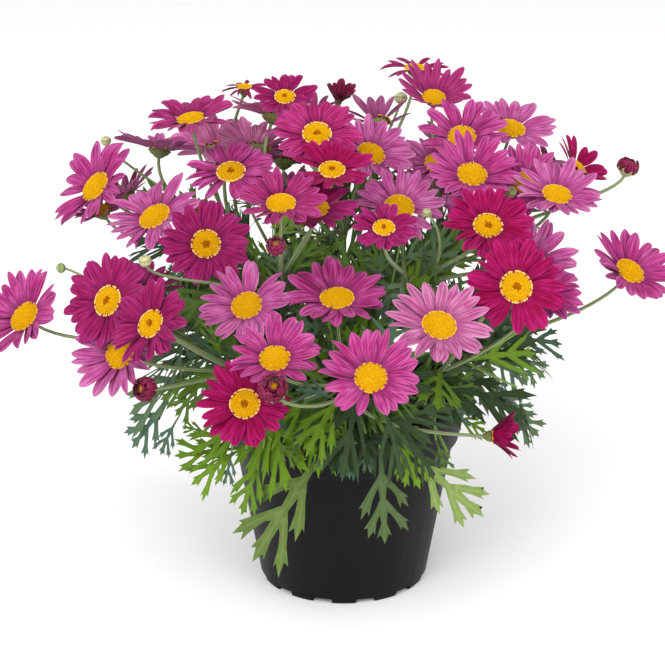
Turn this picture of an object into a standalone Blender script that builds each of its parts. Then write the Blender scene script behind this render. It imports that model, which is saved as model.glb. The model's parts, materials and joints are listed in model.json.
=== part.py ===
"""A marguerite daisy in a round nursery pot, with its blooms open, at its real size.

Metres, +Z up. The origin is the middle of the pot's flat underside, and the side that shows faces -Y.
The pot, its compost, the short woody stem, each bough and each mass of leaf and blossom are one object each.
"""

import math
import random
from collections import namedtuple

import bmesh
import bpy
from mathutils import Vector
from mathutils.bvhtree import BVHTree

# Gap between solids that touch on the real plant
GAP = 0.0003

# Pot
POT_HEIGHT = 0.106
POT_BASE_RADIUS = 0.045
POT_RIM_RADIUS = 0.0675
POT_WALL = 0.0016
POT_FLOOR = 0.0046
POT_SIDES = 36
COLLAR_HEIGHT = 0.027
COLLAR_STEP = 0.0034
LIP_ROUNDING = 0.0012
FOOT_COUNT = 12
FOOT_HEIGHT = 0.0028
FOOT_GAP_WIDTH = 0.0105
FOOT_GAP_DEPTH = 0.007

# Compost
SOIL_BELOW_RIM = 0.010
SOIL_CROWN = 0.003

# Woody stem and boughs
TRUNK_HEIGHT = 0.030
TRUNK_RADIUS = 0.0052
TRUNK_FLARE = 1.55
TRUNK_LEAN = 0.002
FORK_HEIGHT = 0.112
LOW_BOUGH_DROP = 0.004
HIGH_BOUGH_RISE = 0.006
BOUGH_RADIUS = 0.0019
BOUGH_TIP_RADIUS = 0.0015
BOUGH_REACH = 0.036

# Crown: the blooms lie on a dome over the pot
DOME_CENTRE = Vector((0.0, 0.0, 0.120))
DOME_RADIUS = 0.160
DOME_RISE = 0.152
BACK_BLOOM_COUNT = 90
BACK_BLOOM_WIDTH = 0.043
BACK_BLOOM_SPACING = 0.039
BACK_LIMIT = -0.08
BACK_LOWEST_LIFT = 8.0

# Blooms and buds: the outline's distances and heights are shares of the bloom's radius
PETAL_COUNT = 8
PETAL_NOTCH = (0.60, 0.01)
PETAL_TIP = (0.98, -0.02)
PETAL_TIP_SIDES = (0.30, 0.70)
DISC_SHARE = 0.21
DISC_EDGE_HEIGHT = 0.09
DISC_CROWN_HEIGHT = 0.13
HALF_OPEN_LENGTH = 0.75
BUD_LENGTH = 0.95
CALYX_DEPTH = 0.0045
CALYX_RADIUS = 0.0042
HEAD_CLEARANCE = 0.0042
PUSH_STEP = 0.003
STALK_RADIUS = 0.0011
STALK_SHARES = (0.92, 0.75, 0.58, 0.40)
STALK_BOWS = (0.0, 0.006, 0.012, 0.018)

# Leafy shoots. A leaf's outline runs out along its rib and to each side in shares of its length
STEM_TIP_RADIUS = 0.0011
SHOOT_RADII = (0.0012, 0.0009)
SHOOT_LENGTH_SHARE = 0.6
LEAF_THICKNESS = 0.0011
LEAF_RIBS_AT = (0.0, 0.28, 0.50, 0.72)
LEAF_WAIST = (0.008, 0.028, 0.036, 0.042)
LEAF_LOBES_OUT = (0.66, 0.90)
LEAF_LOBES_WIDE = (0.27, 0.17)
LOW_LEAF_DROOP = 0.4
SEEN_LEAF_DROOP = 0.35
GOLDEN_ANGLE = math.radians(137.5)
UPWARD = Vector((0.0, 0.0, 1.0))

# The view in which the heads below were placed: its distance, its fall, and what one pixel spans at the aim
VIEW_DISTANCE = 1.0
VIEW_FALL = math.radians(18.5)
VIEW_AIM = Vector((-0.0061, 0.0, 0.137))
VIEW_MIDDLE_PX = 332.5
PIXEL = 0.00053

# A head of flower: the middle of its disc in pixels, the way it faces (degrees right of the viewer and
# above level) and its width in millimetres. They are listed from the front of the crown to the back.
Head = namedtuple("Head", "px py turn lift width stage")

FRONT_ROW = (
    Head(273, 388, 5, 30, 15, "half"),
    Head(275, 359, -4, 50, 49, "open"),
    Head(371, 378, 2, 42, 51, "open"),
    Head(245, 404, -6, 33, 48, "open"),
    Head(439, 326, 12, 54, 53, "open"),
    Head(337, 299, 3, 62, 52, "open"),
    Head(247, 306, -14, 48, 49, "open"),
    Head(516, 287, 8, 25, 50, "open"),
)
SIDES = (
    Head(151, 324, -32, 30, 44, "open"),
    Head(108, 301, -34, 22, 45, "open"),
    Head(25, 317, -44, 34, 45, "open"),
    Head(630, 272, 36, 40, 45, "open"),
    Head(145, 388, -40, -5, 15, "half"),
    Head(503, 434, 70, 12, 23, "half"),
    Head(628, 167, 50, 58, 13, "half"),
    Head(60, 268, -75, 5, 9, "bud"),
)
MIDDLE_ROW = (
    Head(206, 244, 0, 28, 46, "open"),
    Head(384, 227, -3, 52, 42, "open"),
    Head(488, 226, 2, 50, 46, "open"),
    Head(281, 204, -5, 58, 47, "open"),
    Head(155, 217, -34, 42, 46, "open"),
    Head(557, 195, 18, 56, 47, "open"),
    Head(472, 175, 8, 46, 46, "open"),
    Head(98, 186, -44, 30, 43, "open"),
    Head(332, 170, 2, 58, 42, "open"),
    Head(231, 172, -8, 58, 48, "open"),
    Head(317, 134, 0, 50, 48, "open"),
    Head(399, 208, 5, 48, 47, "open"),
    Head(316, 208, 12, 62, 42, "open"),
    Head(276, 247, 0, 35, 15, "half"),
    Head(452, 199, -20, 60, 14, "half"),
    Head(428, 214, 5, 70, 9, "bud"),
    Head(511, 192, 25, 40, 9, "bud"),
    Head(145, 261, -25, 70, 10, "bud"),
)
BEHIND = (
    Head(116, 358, -38, 6, 44, "open"),
    Head(548, 300, 48, 25, 44, "open"),
    Head(535, 258, 42, 36, 44, "open"),
    Head(526, 184, 10, 42, 42, "open"),
    Head(98, 213, -48, 34, 40, "open"),
    Head(579, 167, 52, 48, 42, "open"),
    Head(371, 154, 26, 52, 44, "open"),
    Head(511, 129, 22, 58, 46, "open"),
    Head(462, 137, -5, 54, 44, "open"),
    Head(437, 164, 6, 56, 40, "open"),
    Head(141, 284, -20, 62, 38, "open"),
)
TOP_ROW = (
    Head(285, 97, -2, 40, 42, "open"),
    Head(193, 117, -46, 60, 46, "open"),
    Head(431, 96, 18, 58, 48, "open"),
    Head(416, 68, 4, 78, 36, "open"),
    Head(246, 86, -20, 80, 26, "open"),
    Head(164, 146, -80, 50, 42, "open"),
    Head(268, 108, -100, 62, 40, "open"),
    Head(378, 116, 178, 42, 40, "open"),
    Head(212, 134, 170, 50, 44, "open"),
    Head(306, 98, 160, 48, 42, "open"),
    Head(250, 142, 175, 60, 44, "open"),
    Head(342, 91, 60, 40, 14, "half"),
    Head(399, 100, 0, 85, 10, "bud"),
    Head(106, 141, -30, 75, 8, "bud"),
)
SEEN_HEADS = FRONT_ROW + SIDES + MIDDLE_ROW + BEHIND + TOP_ROW

# Masses: tiers of shoots round the stem, by how many, their lift, the reach of the leafy stem, and its leaves
Tier = namedtuple("Tier", "name count first_turn lift reach leaves shoots shoot_leaves leaf_length")
TIERS = (
    Tier("skirt", 9, 0.0, 17.0, 0.078, 8, 1, 3, 0.082),
    Tier("middle", 5, 36.0, 50.0, 0.082, 8, 1, 3, 0.072),
    Tier("top", 1, 0.0, 86.0, 0.085, 6, 1, 3, 0.062),
)

# Leaves that stand out of the outline or hang over the pot: the tip in pixels, and how far it is in front
# of the pot's middle in millimetres
Blade = namedtuple("Blade", "px py near")
SEEN_LEAVES = (
    Blade(256, 562, 80),
    Blade(248, 512, 86),
    Blade(300, 500, 86),
    Blade(174, 463, 62),
    Blade(182, 428, 45),
    Blade(131, 449, 20),
    Blade(126, 412, 5),
    Blade(157, 453, 30),
    Blade(386, 543, 82),
    Blade(356, 480, 86),
    Blade(408, 520, 80),
    Blade(476, 525, 70),
    Blade(447, 474, 72),
    Blade(487, 433, 50),
    Blade(536, 441, 20),
    Blade(530, 416, 0),
    Blade(558, 347, 10),
)
SEED = 7


def clear_scene():
    for item in list(bpy.data.objects):
        bpy.data.objects.remove(item, do_unlink=True)


def new_collection(name):
    made = bpy.data.collections.new(name)
    bpy.context.scene.collection.children.link(made)
    return made


def new_material(name, colour, roughness):
    material = bpy.data.materials.new(name)
    material.use_nodes = True
    shader = material.node_tree.nodes["Principled BSDF"]
    shader.inputs["Base Color"].default_value = (*colour, 1.0)
    shader.inputs["Roughness"].default_value = roughness
    shader.inputs["Metallic"].default_value = 0.0
    return material


def new_object(name, mesh, collection, material=None):
    made = bpy.data.objects.new(name, mesh)
    collection.objects.link(made)
    if material:
        mesh.materials.clear()
        mesh.materials.append(material)
    return made


def evaluated_mesh(item, name):
    """The object's mesh with its modifiers applied."""
    bpy.context.view_layer.update()
    graph = bpy.context.evaluated_depsgraph_get()
    mesh = bpy.data.meshes.new_from_object(item.evaluated_get(graph))
    mesh.name = name
    return mesh


def weld(mesh, distance=0.00001):
    shape = bmesh.new()
    shape.from_mesh(mesh)
    bmesh.ops.remove_doubles(shape, verts=shape.verts, dist=distance)
    bmesh.ops.recalc_face_normals(shape, faces=shape.faces)
    shape.to_mesh(mesh)
    shape.free()
    return mesh


# Geometry of the view and the dome


def facing(turn, lift):
    """The unit vector that points turn degrees to the viewer's right of -Y and lift degrees above level."""
    turn, lift = math.radians(turn), math.radians(lift)
    return Vector((math.sin(turn) * math.cos(lift), -math.cos(turn) * math.cos(lift), math.sin(lift)))


def sight_line(px, py):
    """The viewer's eye and the unit direction of the line of sight through a pixel."""
    ahead = Vector((0.0, math.cos(VIEW_FALL), -math.sin(VIEW_FALL)))
    upward = Vector((0.0, math.sin(VIEW_FALL), math.cos(VIEW_FALL)))
    across = Vector((1.0, 0.0, 0.0))
    eye = VIEW_AIM - ahead * VIEW_DISTANCE
    line = ahead * VIEW_DISTANCE
    line += across * (px - VIEW_MIDDLE_PX) * PIXEL
    line += upward * (VIEW_MIDDLE_PX - py) * PIXEL
    return eye, line.normalized()


def dome_distance(eye, line):
    """How far along the line the dome's near side is, or the point nearest to the dome if the line misses it."""
    shrink = Vector((1 / DOME_RADIUS, 1 / DOME_RADIUS, 1 / DOME_RISE))
    start = (eye - DOME_CENTRE) * shrink
    step = line * shrink
    a, b, c = step.dot(step), start.dot(step), start.dot(start) - 1
    return (-b - math.sqrt(max(0.0, b * b - a * c))) / a


class Flower:
    """A head set in the crown: its middle, the way it faces and its radius."""

    def __init__(self, place, normal, radius, stage):
        self.place, self.normal, self.radius, self.stage = place, normal, radius, stage
        self.side = normal.orthogonal().normalized()
        self.rest = normal.cross(self.side)

    def samples(self):
        """Points over the head, close enough together that no neighbour slips between them."""
        yield self.place
        for share in (0.4, 0.7, 1.0):
            for step in range(16):
                angle = math.tau * step / 16
                ray = self.side * math.cos(angle) + self.rest * math.sin(angle)
                yield self.place + ray * self.radius * share

    def holds(self, point):
        offset = point - self.place
        height = offset.dot(self.normal)
        out = (offset - self.normal * height).length
        return abs(height) < HEAD_CLEARANCE and out < self.radius + GAP

    def meets(self, other):
        if (self.place - other.place).length > self.radius + other.radius + HEAD_CLEARANCE:
            return False
        return any(other.holds(p) for p in self.samples()) or any(self.holds(p) for p in other.samples())


def set_seen_heads():
    """Sets each listed head on the dome and pushes it back along its line of sight until it is clear."""
    flowers = []
    for head in SEEN_HEADS:
        eye, line = sight_line(head.px, head.py)
        along = dome_distance(eye, line)
        normal = facing(head.turn, head.lift)
        flower = Flower(eye + line * along, normal, head.width / 2000, head.stage)
        while any(flower.meets(other) for other in flowers):
            flower.place = flower.place + line * PUSH_STEP
        flowers.append(flower)
    return flowers


def set_back_heads(flowers):
    """Fills the side that the view doesn't reach: a golden spiral over the dome, kept off the heads there."""
    for step in range(BACK_BLOOM_COUNT):
        rise = math.sin(math.radians(BACK_LOWEST_LIFT))
        height = rise + (1 - rise) * (step + 0.5) / BACK_BLOOM_COUNT
        lift = math.degrees(math.asin(height))
        turn = math.degrees(GOLDEN_ANGLE * step)
        out = facing(turn, lift)
        place = DOME_CENTRE + out * Vector((DOME_RADIUS, DOME_RADIUS, DOME_RISE))
        towards_eye = facing(0.0, math.degrees(VIEW_FALL))
        if out.dot(towards_eye) > BACK_LIMIT:
            continue
        if any((place - other.place).length < BACK_BLOOM_SPACING for other in flowers):
            continue
        flower = Flower(place, facing(turn, 0.5 * lift + 30), BACK_BLOOM_WIDTH / 2, "open")
        if not any(flower.meets(other) for other in flowers):
            flowers.append(flower)
    return flowers


# Solids of the plant


def tube_mesh(name, points, radii, round_steps=None):
    """A tapering limb along points. It has three sides, or a round section if round_steps is given."""
    curve = bpy.data.curves.new(name, "CURVE")
    curve.dimensions = "3D"
    curve.use_fill_caps = True
    spline = curve.splines.new("POLY")
    spline.points.add(len(points) - 1)
    for knot, place, radius in zip(spline.points, points, radii):
        knot.co = (*place, 1.0)
        knot.radius = radius
    profile = None
    if round_steps is None:
        outline = bpy.data.curves.new(name + "_section", "CURVE")
        ring = outline.splines.new("POLY")
        ring.points.add(2)
        ring.use_cyclic_u = True
        for corner, knot in enumerate(ring.points):
            angle = math.tau * corner / 3
            knot.co = (math.cos(angle), math.sin(angle), 0.0, 1.0)
        profile = bpy.data.objects.new(name + "_section", outline)
        bpy.context.scene.collection.objects.link(profile)
        curve.bevel_mode = "OBJECT"
        curve.bevel_object = profile
    else:
        curve.bevel_depth = 1.0
        curve.bevel_resolution = round_steps
    carrier = bpy.data.objects.new(name, curve)
    bpy.context.scene.collection.objects.link(carrier)
    mesh = weld(evaluated_mesh(carrier, name))
    for item in filter(None, (carrier, profile)):
        data = item.data
        bpy.data.objects.remove(item, do_unlink=True)
        bpy.data.curves.remove(data)
    return mesh


def bezier(p0, p1, p2, p3, steps):
    points = []
    for step in range(steps + 1):
        t = step / steps
        s = 1 - t
        points.append(p0 * s**3 + p1 * 3 * s * s * t + p2 * 3 * s * t * t + p3 * t**3)
    return points


def bloom_mesh(flower):
    """An open head: a star of petals that fall a little to their tips, a domed disc and a calyx under it."""
    shape = bmesh.new()
    radius = flower.radius

    def point(angle, out, height):
        ray = flower.side * math.cos(angle) + flower.rest * math.sin(angle)
        return shape.verts.new(flower.place + ray * out * radius + flower.normal * height * radius)

    apex = point(0.0, 0.0, DISC_CROWN_HEIGHT)
    pitch = math.tau / PETAL_COUNT
    disc, rim = [], []
    for petal in range(PETAL_COUNT):
        angle = pitch * petal
        disc.append(point(angle, DISC_SHARE, DISC_EDGE_HEIGHT))
        rim.append(point(angle, *PETAL_NOTCH))
        rim += [point(angle + side * pitch, *PETAL_TIP) for side in PETAL_TIP_SIDES]
    corners = [point(math.tau * n / 3, CALYX_RADIUS / radius, -CALYX_DEPTH / radius) for n in range(3)]
    for petal in range(PETAL_COUNT):
        here, following = disc[petal], disc[(petal + 1) % PETAL_COUNT]
        notch, left, right, next_notch = (rim[(3 * petal + step) % len(rim)] for step in range(4))
        shape.faces.new((apex, here, following))
        shape.faces.new((here, notch, left))
        shape.faces.new((here, left, right))
        shape.faces.new((here, right, following))
        shape.faces.new((following, right, next_notch))
    for step, vertex in enumerate(rim):
        near = corners[round(3 * step / len(rim)) % 3]
        far = corners[round(3 * (step + 1) / len(rim)) % 3]
        following = rim[(step + 1) % len(rim)]
        shape.faces.new((near, following, vertex))
        if far is not near:
            shape.faces.new((near, far, following))
    shape.faces.new(corners)
    bmesh.ops.recalc_face_normals(shape, faces=shape.faces)
    mesh = bpy.data.meshes.new("bloom")
    shape.to_mesh(mesh)
    shape.free()
    return mesh


def bud_mesh(flower):
    """A bud or a half-open head: a small faceted egg along the way it faces."""
    shape = bmesh.new()
    bmesh.ops.create_icosphere(shape, subdivisions=1, radius=flower.radius)
    turn = UPWARD.rotation_difference(flower.normal)
    length = HALF_OPEN_LENGTH if flower.stage == "half" else BUD_LENGTH
    for vertex in shape.verts:
        vertex.co.z *= length
        vertex.co = turn @ vertex.co + flower.place
    mesh = bpy.data.meshes.new("bud")
    shape.to_mesh(mesh)
    shape.free()
    return mesh


def leaf_mesh(root, along, face, length, droop):
    """A lobed blade, flat beneath and ridged along its rib: two pairs of lobes point forward to a pointed end."""
    along = along.normalized()
    side = along.cross(face).normalized()
    face = side.cross(along).normalized()
    shape = bmesh.new()

    def point(out, across, height):
        fall = -UPWARD * droop * length * out * out
        place = root + along * out * length + side * across * length + face * height + fall
        return shape.verts.new(place)

    tip = point(1.0, 0.0, 0.0)
    ribs = [point(out, 0.0, LEAF_THICKNESS) for out in LEAF_RIBS_AT]
    edges = []
    for hand in (1, -1):
        valleys = [point(out, hand * wide, 0.0) for out, wide in zip(LEAF_RIBS_AT, LEAF_WAIST)]
        lobes = [point(out, hand * wide, 0.0) for out, wide in zip(LEAF_LOBES_OUT, LEAF_LOBES_WIDE)]
        edges.append(valleys)
        shape.faces.new((ribs[0], valleys[0], valleys[1]))
        shape.faces.new((ribs[0], valleys[1], ribs[1]))
        for step, lobe in enumerate(lobes, start=1):
            shape.faces.new((ribs[step], valleys[step], lobe))
            shape.faces.new((ribs[step], lobe, valleys[step + 1]))
            shape.faces.new((ribs[step], valleys[step + 1], ribs[step + 1]))
            shape.faces.new((lobe, valleys[step], valleys[step + 1]))
        shape.faces.new((ribs[3], valleys[3], tip))
    right, left = edges
    for step in range(3):
        shape.faces.new((right[step], right[step + 1], left[step + 1], left[step]))
    shape.faces.new((right[3], tip, left[3]))
    shape.faces.new((ribs[0], right[0], left[0]))
    bmesh.ops.recalc_face_normals(shape, faces=shape.faces)
    mesh = bpy.data.meshes.new("leaf")
    shape.to_mesh(mesh)
    shape.free()
    return mesh


def tree_of(mesh):
    """A search tree over a mesh's faces, with the box that it lies in."""
    points = [v.co.copy() for v in mesh.vertices]
    faces = [tuple(p.vertices) for p in mesh.polygons]
    low = Vector(map(min, *points))
    high = Vector(map(max, *points))
    return BVHTree.FromPolygons(points, faces), low, high


class Space:
    """What is already in the crown, by owner, so that nothing of one mass touches another's."""

    def __init__(self):
        self.kept = []

    def add(self, owner, mesh):
        self.kept.append((owner, *tree_of(mesh)))

    def is_clear(self, owner, mesh):
        tree, low, high = tree_of(mesh)
        for other, kept, kept_low, kept_high in self.kept:
            if other == owner:
                continue
            if any(low[i] - GAP > kept_high[i] or kept_low[i] - GAP > high[i] for i in range(3)):
                continue
            if tree.overlap(kept):
                return False
        return True


class Mass:
    """One mass of the crown: the direction it grows in, its leafy stem and what is fused to it."""

    def __init__(self, name, tier, turn):
        self.name, self.tier = name, tier
        self.along = facing(turn, tier.lift)
        fork = Vector((0.0, 0.0, FORK_HEIGHT))
        self.foot = fork + self.along * (BOUGH_REACH + GAP)
        self.tip = fork + self.along * tier.reach
        self.meshes = []
        self.flowers = []

    def stem_point(self, share):
        return self.foot.lerp(self.tip, share)


def make_masses():
    masses = []
    for tier in TIERS:
        for number in range(tier.count):
            turn = tier.first_turn + 360.0 * number / tier.count
            name = f"mass_{tier.name}_{number + 1}" if tier.count > 1 else f"mass_{tier.name}"
            masses.append(Mass(name, tier, turn))
    return masses


def nearest_mass(masses, place):
    direction = (place - Vector((0.0, 0.0, FORK_HEIGHT))).normalized()
    return max(masses, key=lambda mass: mass.along.dot(direction))


def add_stem(mass, space):
    radii = [BOUGH_TIP_RADIUS, STEM_TIP_RADIUS]
    mesh = tube_mesh(mass.name + "_stem", [mass.foot, mass.tip], radii, round_steps=0)
    mass.meshes.append(mesh)
    space.add(mass.name, mesh)


def add_heads(mass, space):
    for flower in mass.flowers:
        mesh = bloom_mesh(flower) if flower.stage == "open" else bud_mesh(flower)
        mass.meshes.append(mesh)
        space.add(mass.name, mesh)


def stalk_ways():
    """The routes that a stalk may take, the plainest first: where it leaves the stem, and how it bows."""
    for bow in STALK_BOWS:
        for share in STALK_SHARES:
            for quarter in range(4 if bow else 1):
                yield share, bow, math.radians(90 * quarter)


def add_stalks(mass, space):
    """A bare stalk from the leafy stem to the back of each head, bowed aside where it would meet another mass."""
    for flower in mass.flowers:
        sunk = CALYX_DEPTH * 0.6 if flower.stage == "open" else 0.0
        end = flower.place - flower.normal * sunk
        for share, bow, quarter in stalk_ways():
            start = mass.stem_point(share)
            span = (end - start).length
            chord = (end - start).normalized()
            across = chord.orthogonal().normalized()
            aside = across * math.cos(quarter) + chord.cross(across) * math.sin(quarter)
            first = start + (mass.along * 0.6 + chord * 0.4) * span * 0.35 + aside * bow
            second = end - flower.normal * span * 0.34 + aside * bow
            path = bezier(start, first, second, end, 3)
            mesh = tube_mesh("stalk", path, [STALK_RADIUS] * len(path))
            if space.is_clear(mass.name, mesh):
                break
            bpy.data.meshes.remove(mesh)
        else:
            raise ValueError(f"{mass.name}: no clear way for the stalk to {flower.place}")
        mass.meshes.append(mesh)
        space.add(mass.name, mesh)


def add_leaf(mass, space, masses, root, along, length, droop):
    face = UPWARD + 0.35 * mass.along
    leaf = leaf_mesh(root, along, face, length, droop)
    middle = root + along.normalized() * length * 0.6
    if nearest_mass(masses, middle) is mass and space.is_clear(mass.name, leaf):
        mass.meshes.append(leaf)
        space.add(mass.name, leaf)
    else:
        bpy.data.meshes.remove(leaf)


def add_seen_leaves(masses, space):
    """Sets the named leaves: each springs from the leafy stem of the mass that it is nearest to."""
    for blade in SEEN_LEAVES:
        eye, line = sight_line(blade.px, blade.py)
        tip = eye + line * ((-blade.near / 1000 - eye.y) / line.y)
        mass = nearest_mass(masses, tip)
        for share in (0.9, 0.75, 0.6, 0.45, 0.3):
            root = mass.stem_point(share)
            fall = SEEN_LEAF_DROOP * (tip - root).length
            reach = tip - root + Vector((0.0, 0.0, fall))
            leaf = leaf_mesh(root, reach, UPWARD, reach.length, fall / reach.length)
            if space.is_clear(mass.name, leaf):
                mass.meshes.append(leaf)
                space.add(mass.name, leaf)
                break
            bpy.data.meshes.remove(leaf)


def spiral(axis, step):
    """The unit vector across an axis that turns by the golden angle at each step."""
    across = axis.orthogonal().normalized()
    other = axis.cross(across)
    return across * math.cos(GOLDEN_ANGLE * step) + other * math.sin(GOLDEN_ANGLE * step)


def add_leaves(mass, space, masses, chance):
    """Leaves in a spiral up the stem, and short leafy shoots that fork from it."""
    tier = mass.tier
    for step in range(tier.leaves):
        share = (step + 0.5) / tier.leaves
        out = mass.along * 0.55 + spiral(mass.along, step) * (1.1 - 0.4 * share)
        length = tier.leaf_length * chance.uniform(0.85, 1.1) * (1.05 - 0.3 * share)
        droop = chance.uniform(0.1, 0.35) + LOW_LEAF_DROOP * max(0.0, -out.z)
        add_leaf(mass, space, masses, mass.stem_point(share), out, length, droop)
    for number in range(tier.shoots):
        root = mass.stem_point(0.25 + 0.4 * number)
        along = (mass.along + spiral(mass.along, number * 3 + 1) * 0.8).normalized()
        tip = root + along * tier.leaf_length * SHOOT_LENGTH_SHARE
        shoot = tube_mesh("shoot", [root, tip], SHOOT_RADII)
        if not space.is_clear(mass.name, shoot):
            bpy.data.meshes.remove(shoot)
            continue
        mass.meshes.append(shoot)
        space.add(mass.name, shoot)
        for step in range(tier.shoot_leaves):
            share = (step + 1) / tier.shoot_leaves
            out = along * 0.6 + spiral(along, step + number) * (1.0 - 0.5 * share)
            length = tier.leaf_length * chance.uniform(0.7, 0.9)
            place = root.lerp(tip, 0.3 + 0.66 * share)
            add_leaf(mass, space, masses, place, out, length, chance.uniform(0.15, 0.4))


def largest_body(mesh):
    """Drops loose scraps and sealed hollows that a union leaves, so that one closed body stays."""
    shape = bmesh.new()
    shape.from_mesh(mesh)
    shape.verts.ensure_lookup_table()
    unseen = set(shape.verts)
    bodies = []
    while unseen:
        body = {unseen.pop()}
        edge_of_body = list(body)
        while edge_of_body:
            vertex = edge_of_body.pop()
            near = {e.other_vert(vertex) for e in vertex.link_edges} & unseen
            unseen -= near
            body |= near
            edge_of_body += near
        bodies.append(body)
    main = max(bodies, key=len)
    bmesh.ops.delete(shape, geom=[v for v in shape.verts if v not in main], context="VERTS")
    bmesh.ops.triangulate(shape, faces=shape.faces)
    shape.to_mesh(mesh)
    shape.free()
    return mesh


def fuse(name, meshes, collection, material):
    """Joins a mass's meshes into one solid by one union on a collection."""
    helpers = new_collection(name + "_pieces")
    base = new_object(name + "_base", meshes[0], helpers)
    others = new_collection(name + "_others")
    for number, mesh in enumerate(meshes[1:]):
        new_object(f"{name}_piece_{number}", mesh, others)
    union = base.modifiers.new("union", "BOOLEAN")
    union.operation = "UNION"
    union.operand_type = "COLLECTION"
    union.collection = others
    union.solver = "EXACT"
    mesh = largest_body(evaluated_mesh(base, name))
    for group in (others, helpers):
        for item in list(group.objects):
            bpy.data.objects.remove(item, do_unlink=True)
        bpy.data.collections.remove(group)
    return new_object(name, mesh, collection, material)


# Pot, compost, trunk and boughs


def turned(name, profile, collection, material):
    """A solid of revolution from a profile of (radius, height), which runs down its outer side."""
    shape = bmesh.new()
    knots = [shape.verts.new((radius, 0.0, height)) for radius, height in profile]
    for near, far in zip(knots, knots[1:]):
        shape.edges.new((near, far))
    mesh = bpy.data.meshes.new(name)
    shape.to_mesh(mesh)
    shape.free()
    made = new_object(name, mesh, collection, material)
    screw = made.modifiers.new("turn", "SCREW")
    screw.steps = screw.render_steps = POT_SIDES
    screw.use_merge_vertices = True
    screw.merge_threshold = 0.00001
    screw.use_smooth_shade = True
    return made


def wall_radius(height):
    """Outer radius of the pot's wall below the collar."""
    below_collar = POT_RIM_RADIUS - COLLAR_STEP - LIP_ROUNDING
    return POT_BASE_RADIUS + (below_collar - POT_BASE_RADIUS) * height / POT_HEIGHT


def make_pot(collection, cutters, material):
    collar_foot = POT_HEIGHT - COLLAR_HEIGHT
    lip = LIP_ROUNDING
    profile = [
        (0.0, POT_FLOOR),
        (wall_radius(POT_FLOOR) - POT_WALL - 0.002, POT_FLOOR),
        (wall_radius(POT_FLOOR) - POT_WALL, POT_FLOOR + 0.002),
        (wall_radius(collar_foot) - POT_WALL, collar_foot),
        (wall_radius(collar_foot) - POT_WALL + COLLAR_STEP * 0.7, collar_foot + 0.003),
        (POT_RIM_RADIUS - lip - POT_WALL, POT_HEIGHT),
        (POT_RIM_RADIUS - lip * 0.3, POT_HEIGHT),
        (POT_RIM_RADIUS, POT_HEIGHT - lip),
        (POT_RIM_RADIUS, POT_HEIGHT - 3 * lip),
        (POT_RIM_RADIUS - lip, POT_HEIGHT - 4 * lip),
        (wall_radius(collar_foot) + COLLAR_STEP, collar_foot + 0.001),
        (wall_radius(collar_foot), collar_foot),
        (POT_BASE_RADIUS + 0.0004, 0.002),
        (POT_BASE_RADIUS - 0.001, 0.0),
        (0.0, 0.0),
    ]
    pot = turned("pot", profile, collection, material)
    for number in range(FOOT_COUNT):
        bpy.ops.mesh.primitive_cube_add(size=1.0)
        cutter = bpy.context.object
        cutter.name = f"foot_gap_{number}"
        for holder in list(cutter.users_collection):
            holder.objects.unlink(cutter)
        cutters.objects.link(cutter)
        angle = math.tau * (number + 0.5) / FOOT_COUNT - math.pi / 2
        middle = POT_BASE_RADIUS + 0.002 - FOOT_GAP_DEPTH / 2
        cutter.location = (middle * math.cos(angle), middle * math.sin(angle), 0.0)
        cutter.rotation_euler.z = angle
        cutter.scale = (FOOT_GAP_DEPTH + 0.004, FOOT_GAP_WIDTH, FOOT_HEIGHT * 2)
        cutter.hide_render = True
        cutter.display_type = "WIRE"
    cut = pot.modifiers.new("feet", "BOOLEAN")
    cut.operation = "DIFFERENCE"
    cut.operand_type = "COLLECTION"
    cut.collection = cutters
    cut.solver = "EXACT"
    return pot


def soil_height():
    return POT_HEIGHT - SOIL_BELOW_RIM


def make_soil(collection, material):
    """Compost that fills the pot to just under its rim, level round the stem and a little lower at the wall."""
    top = soil_height()
    collar_foot = POT_HEIGHT - COLLAR_HEIGHT
    bottom = POT_FLOOR + GAP
    inner = POT_WALL + 2 * GAP
    profile = [
        (0.0, top),
        (TRUNK_RADIUS * TRUNK_FLARE * 1.6, top),
        (wall_radius(top) - inner, top - SOIL_CROWN),
        (wall_radius(collar_foot) - inner, collar_foot),
        (wall_radius(bottom) - inner - 0.003, bottom),
        (0.0, bottom),
    ]
    return turned("compost", profile, collection, material)


def trunk_radius(height):
    """Radius of the woody stem at a height above its foot: flared at its root, then nearly straight."""
    share = height / TRUNK_HEIGHT
    return TRUNK_RADIUS * (1 + (TRUNK_FLARE - 1) * math.exp(-6 * share) - 0.15 * share)


def trunk_centre(height):
    """The middle of the woody stem at a height above its foot. It leans more the higher it is."""
    lean = TRUNK_LEAN * (height / TRUNK_HEIGHT) ** 2
    return Vector((lean, 0.0, soil_height() + GAP + height))


def make_trunk(collection, material, space):
    heights = [TRUNK_HEIGHT * share for share in (0.0, 0.03, 0.15, 0.4, 0.75, 1.0)]
    radii = [trunk_radius(height) for height in heights]
    mesh = tube_mesh("trunk", [trunk_centre(height) for height in heights], radii, round_steps=2)
    space.add("trunk", mesh)
    return new_object("trunk", mesh, collection, material)


def side_bough_path(mass, level):
    """A limb's way from the trunk's wall at a level out to its mass. Its end cap tilts as it rises."""
    end = Vector((0.0, 0.0, FORK_HEIGHT)) + mass.along * BOUGH_REACH
    flat = Vector((mass.along.x, mass.along.y, 0.0)).normalized()
    height = level - soil_height() - GAP
    wall = trunk_radius(height - BOUGH_RADIUS) + GAP
    rise = 0.0
    for _ in range(2):
        start = trunk_centre(height) + flat * (wall + BOUGH_RADIUS * rise)
        span = (end - start).length
        path = bezier(start, start + flat * span * 0.3, end - mass.along * span * 0.35, end, 4)
        rise = (path[1] - path[0]).normalized().z
    return path


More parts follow.
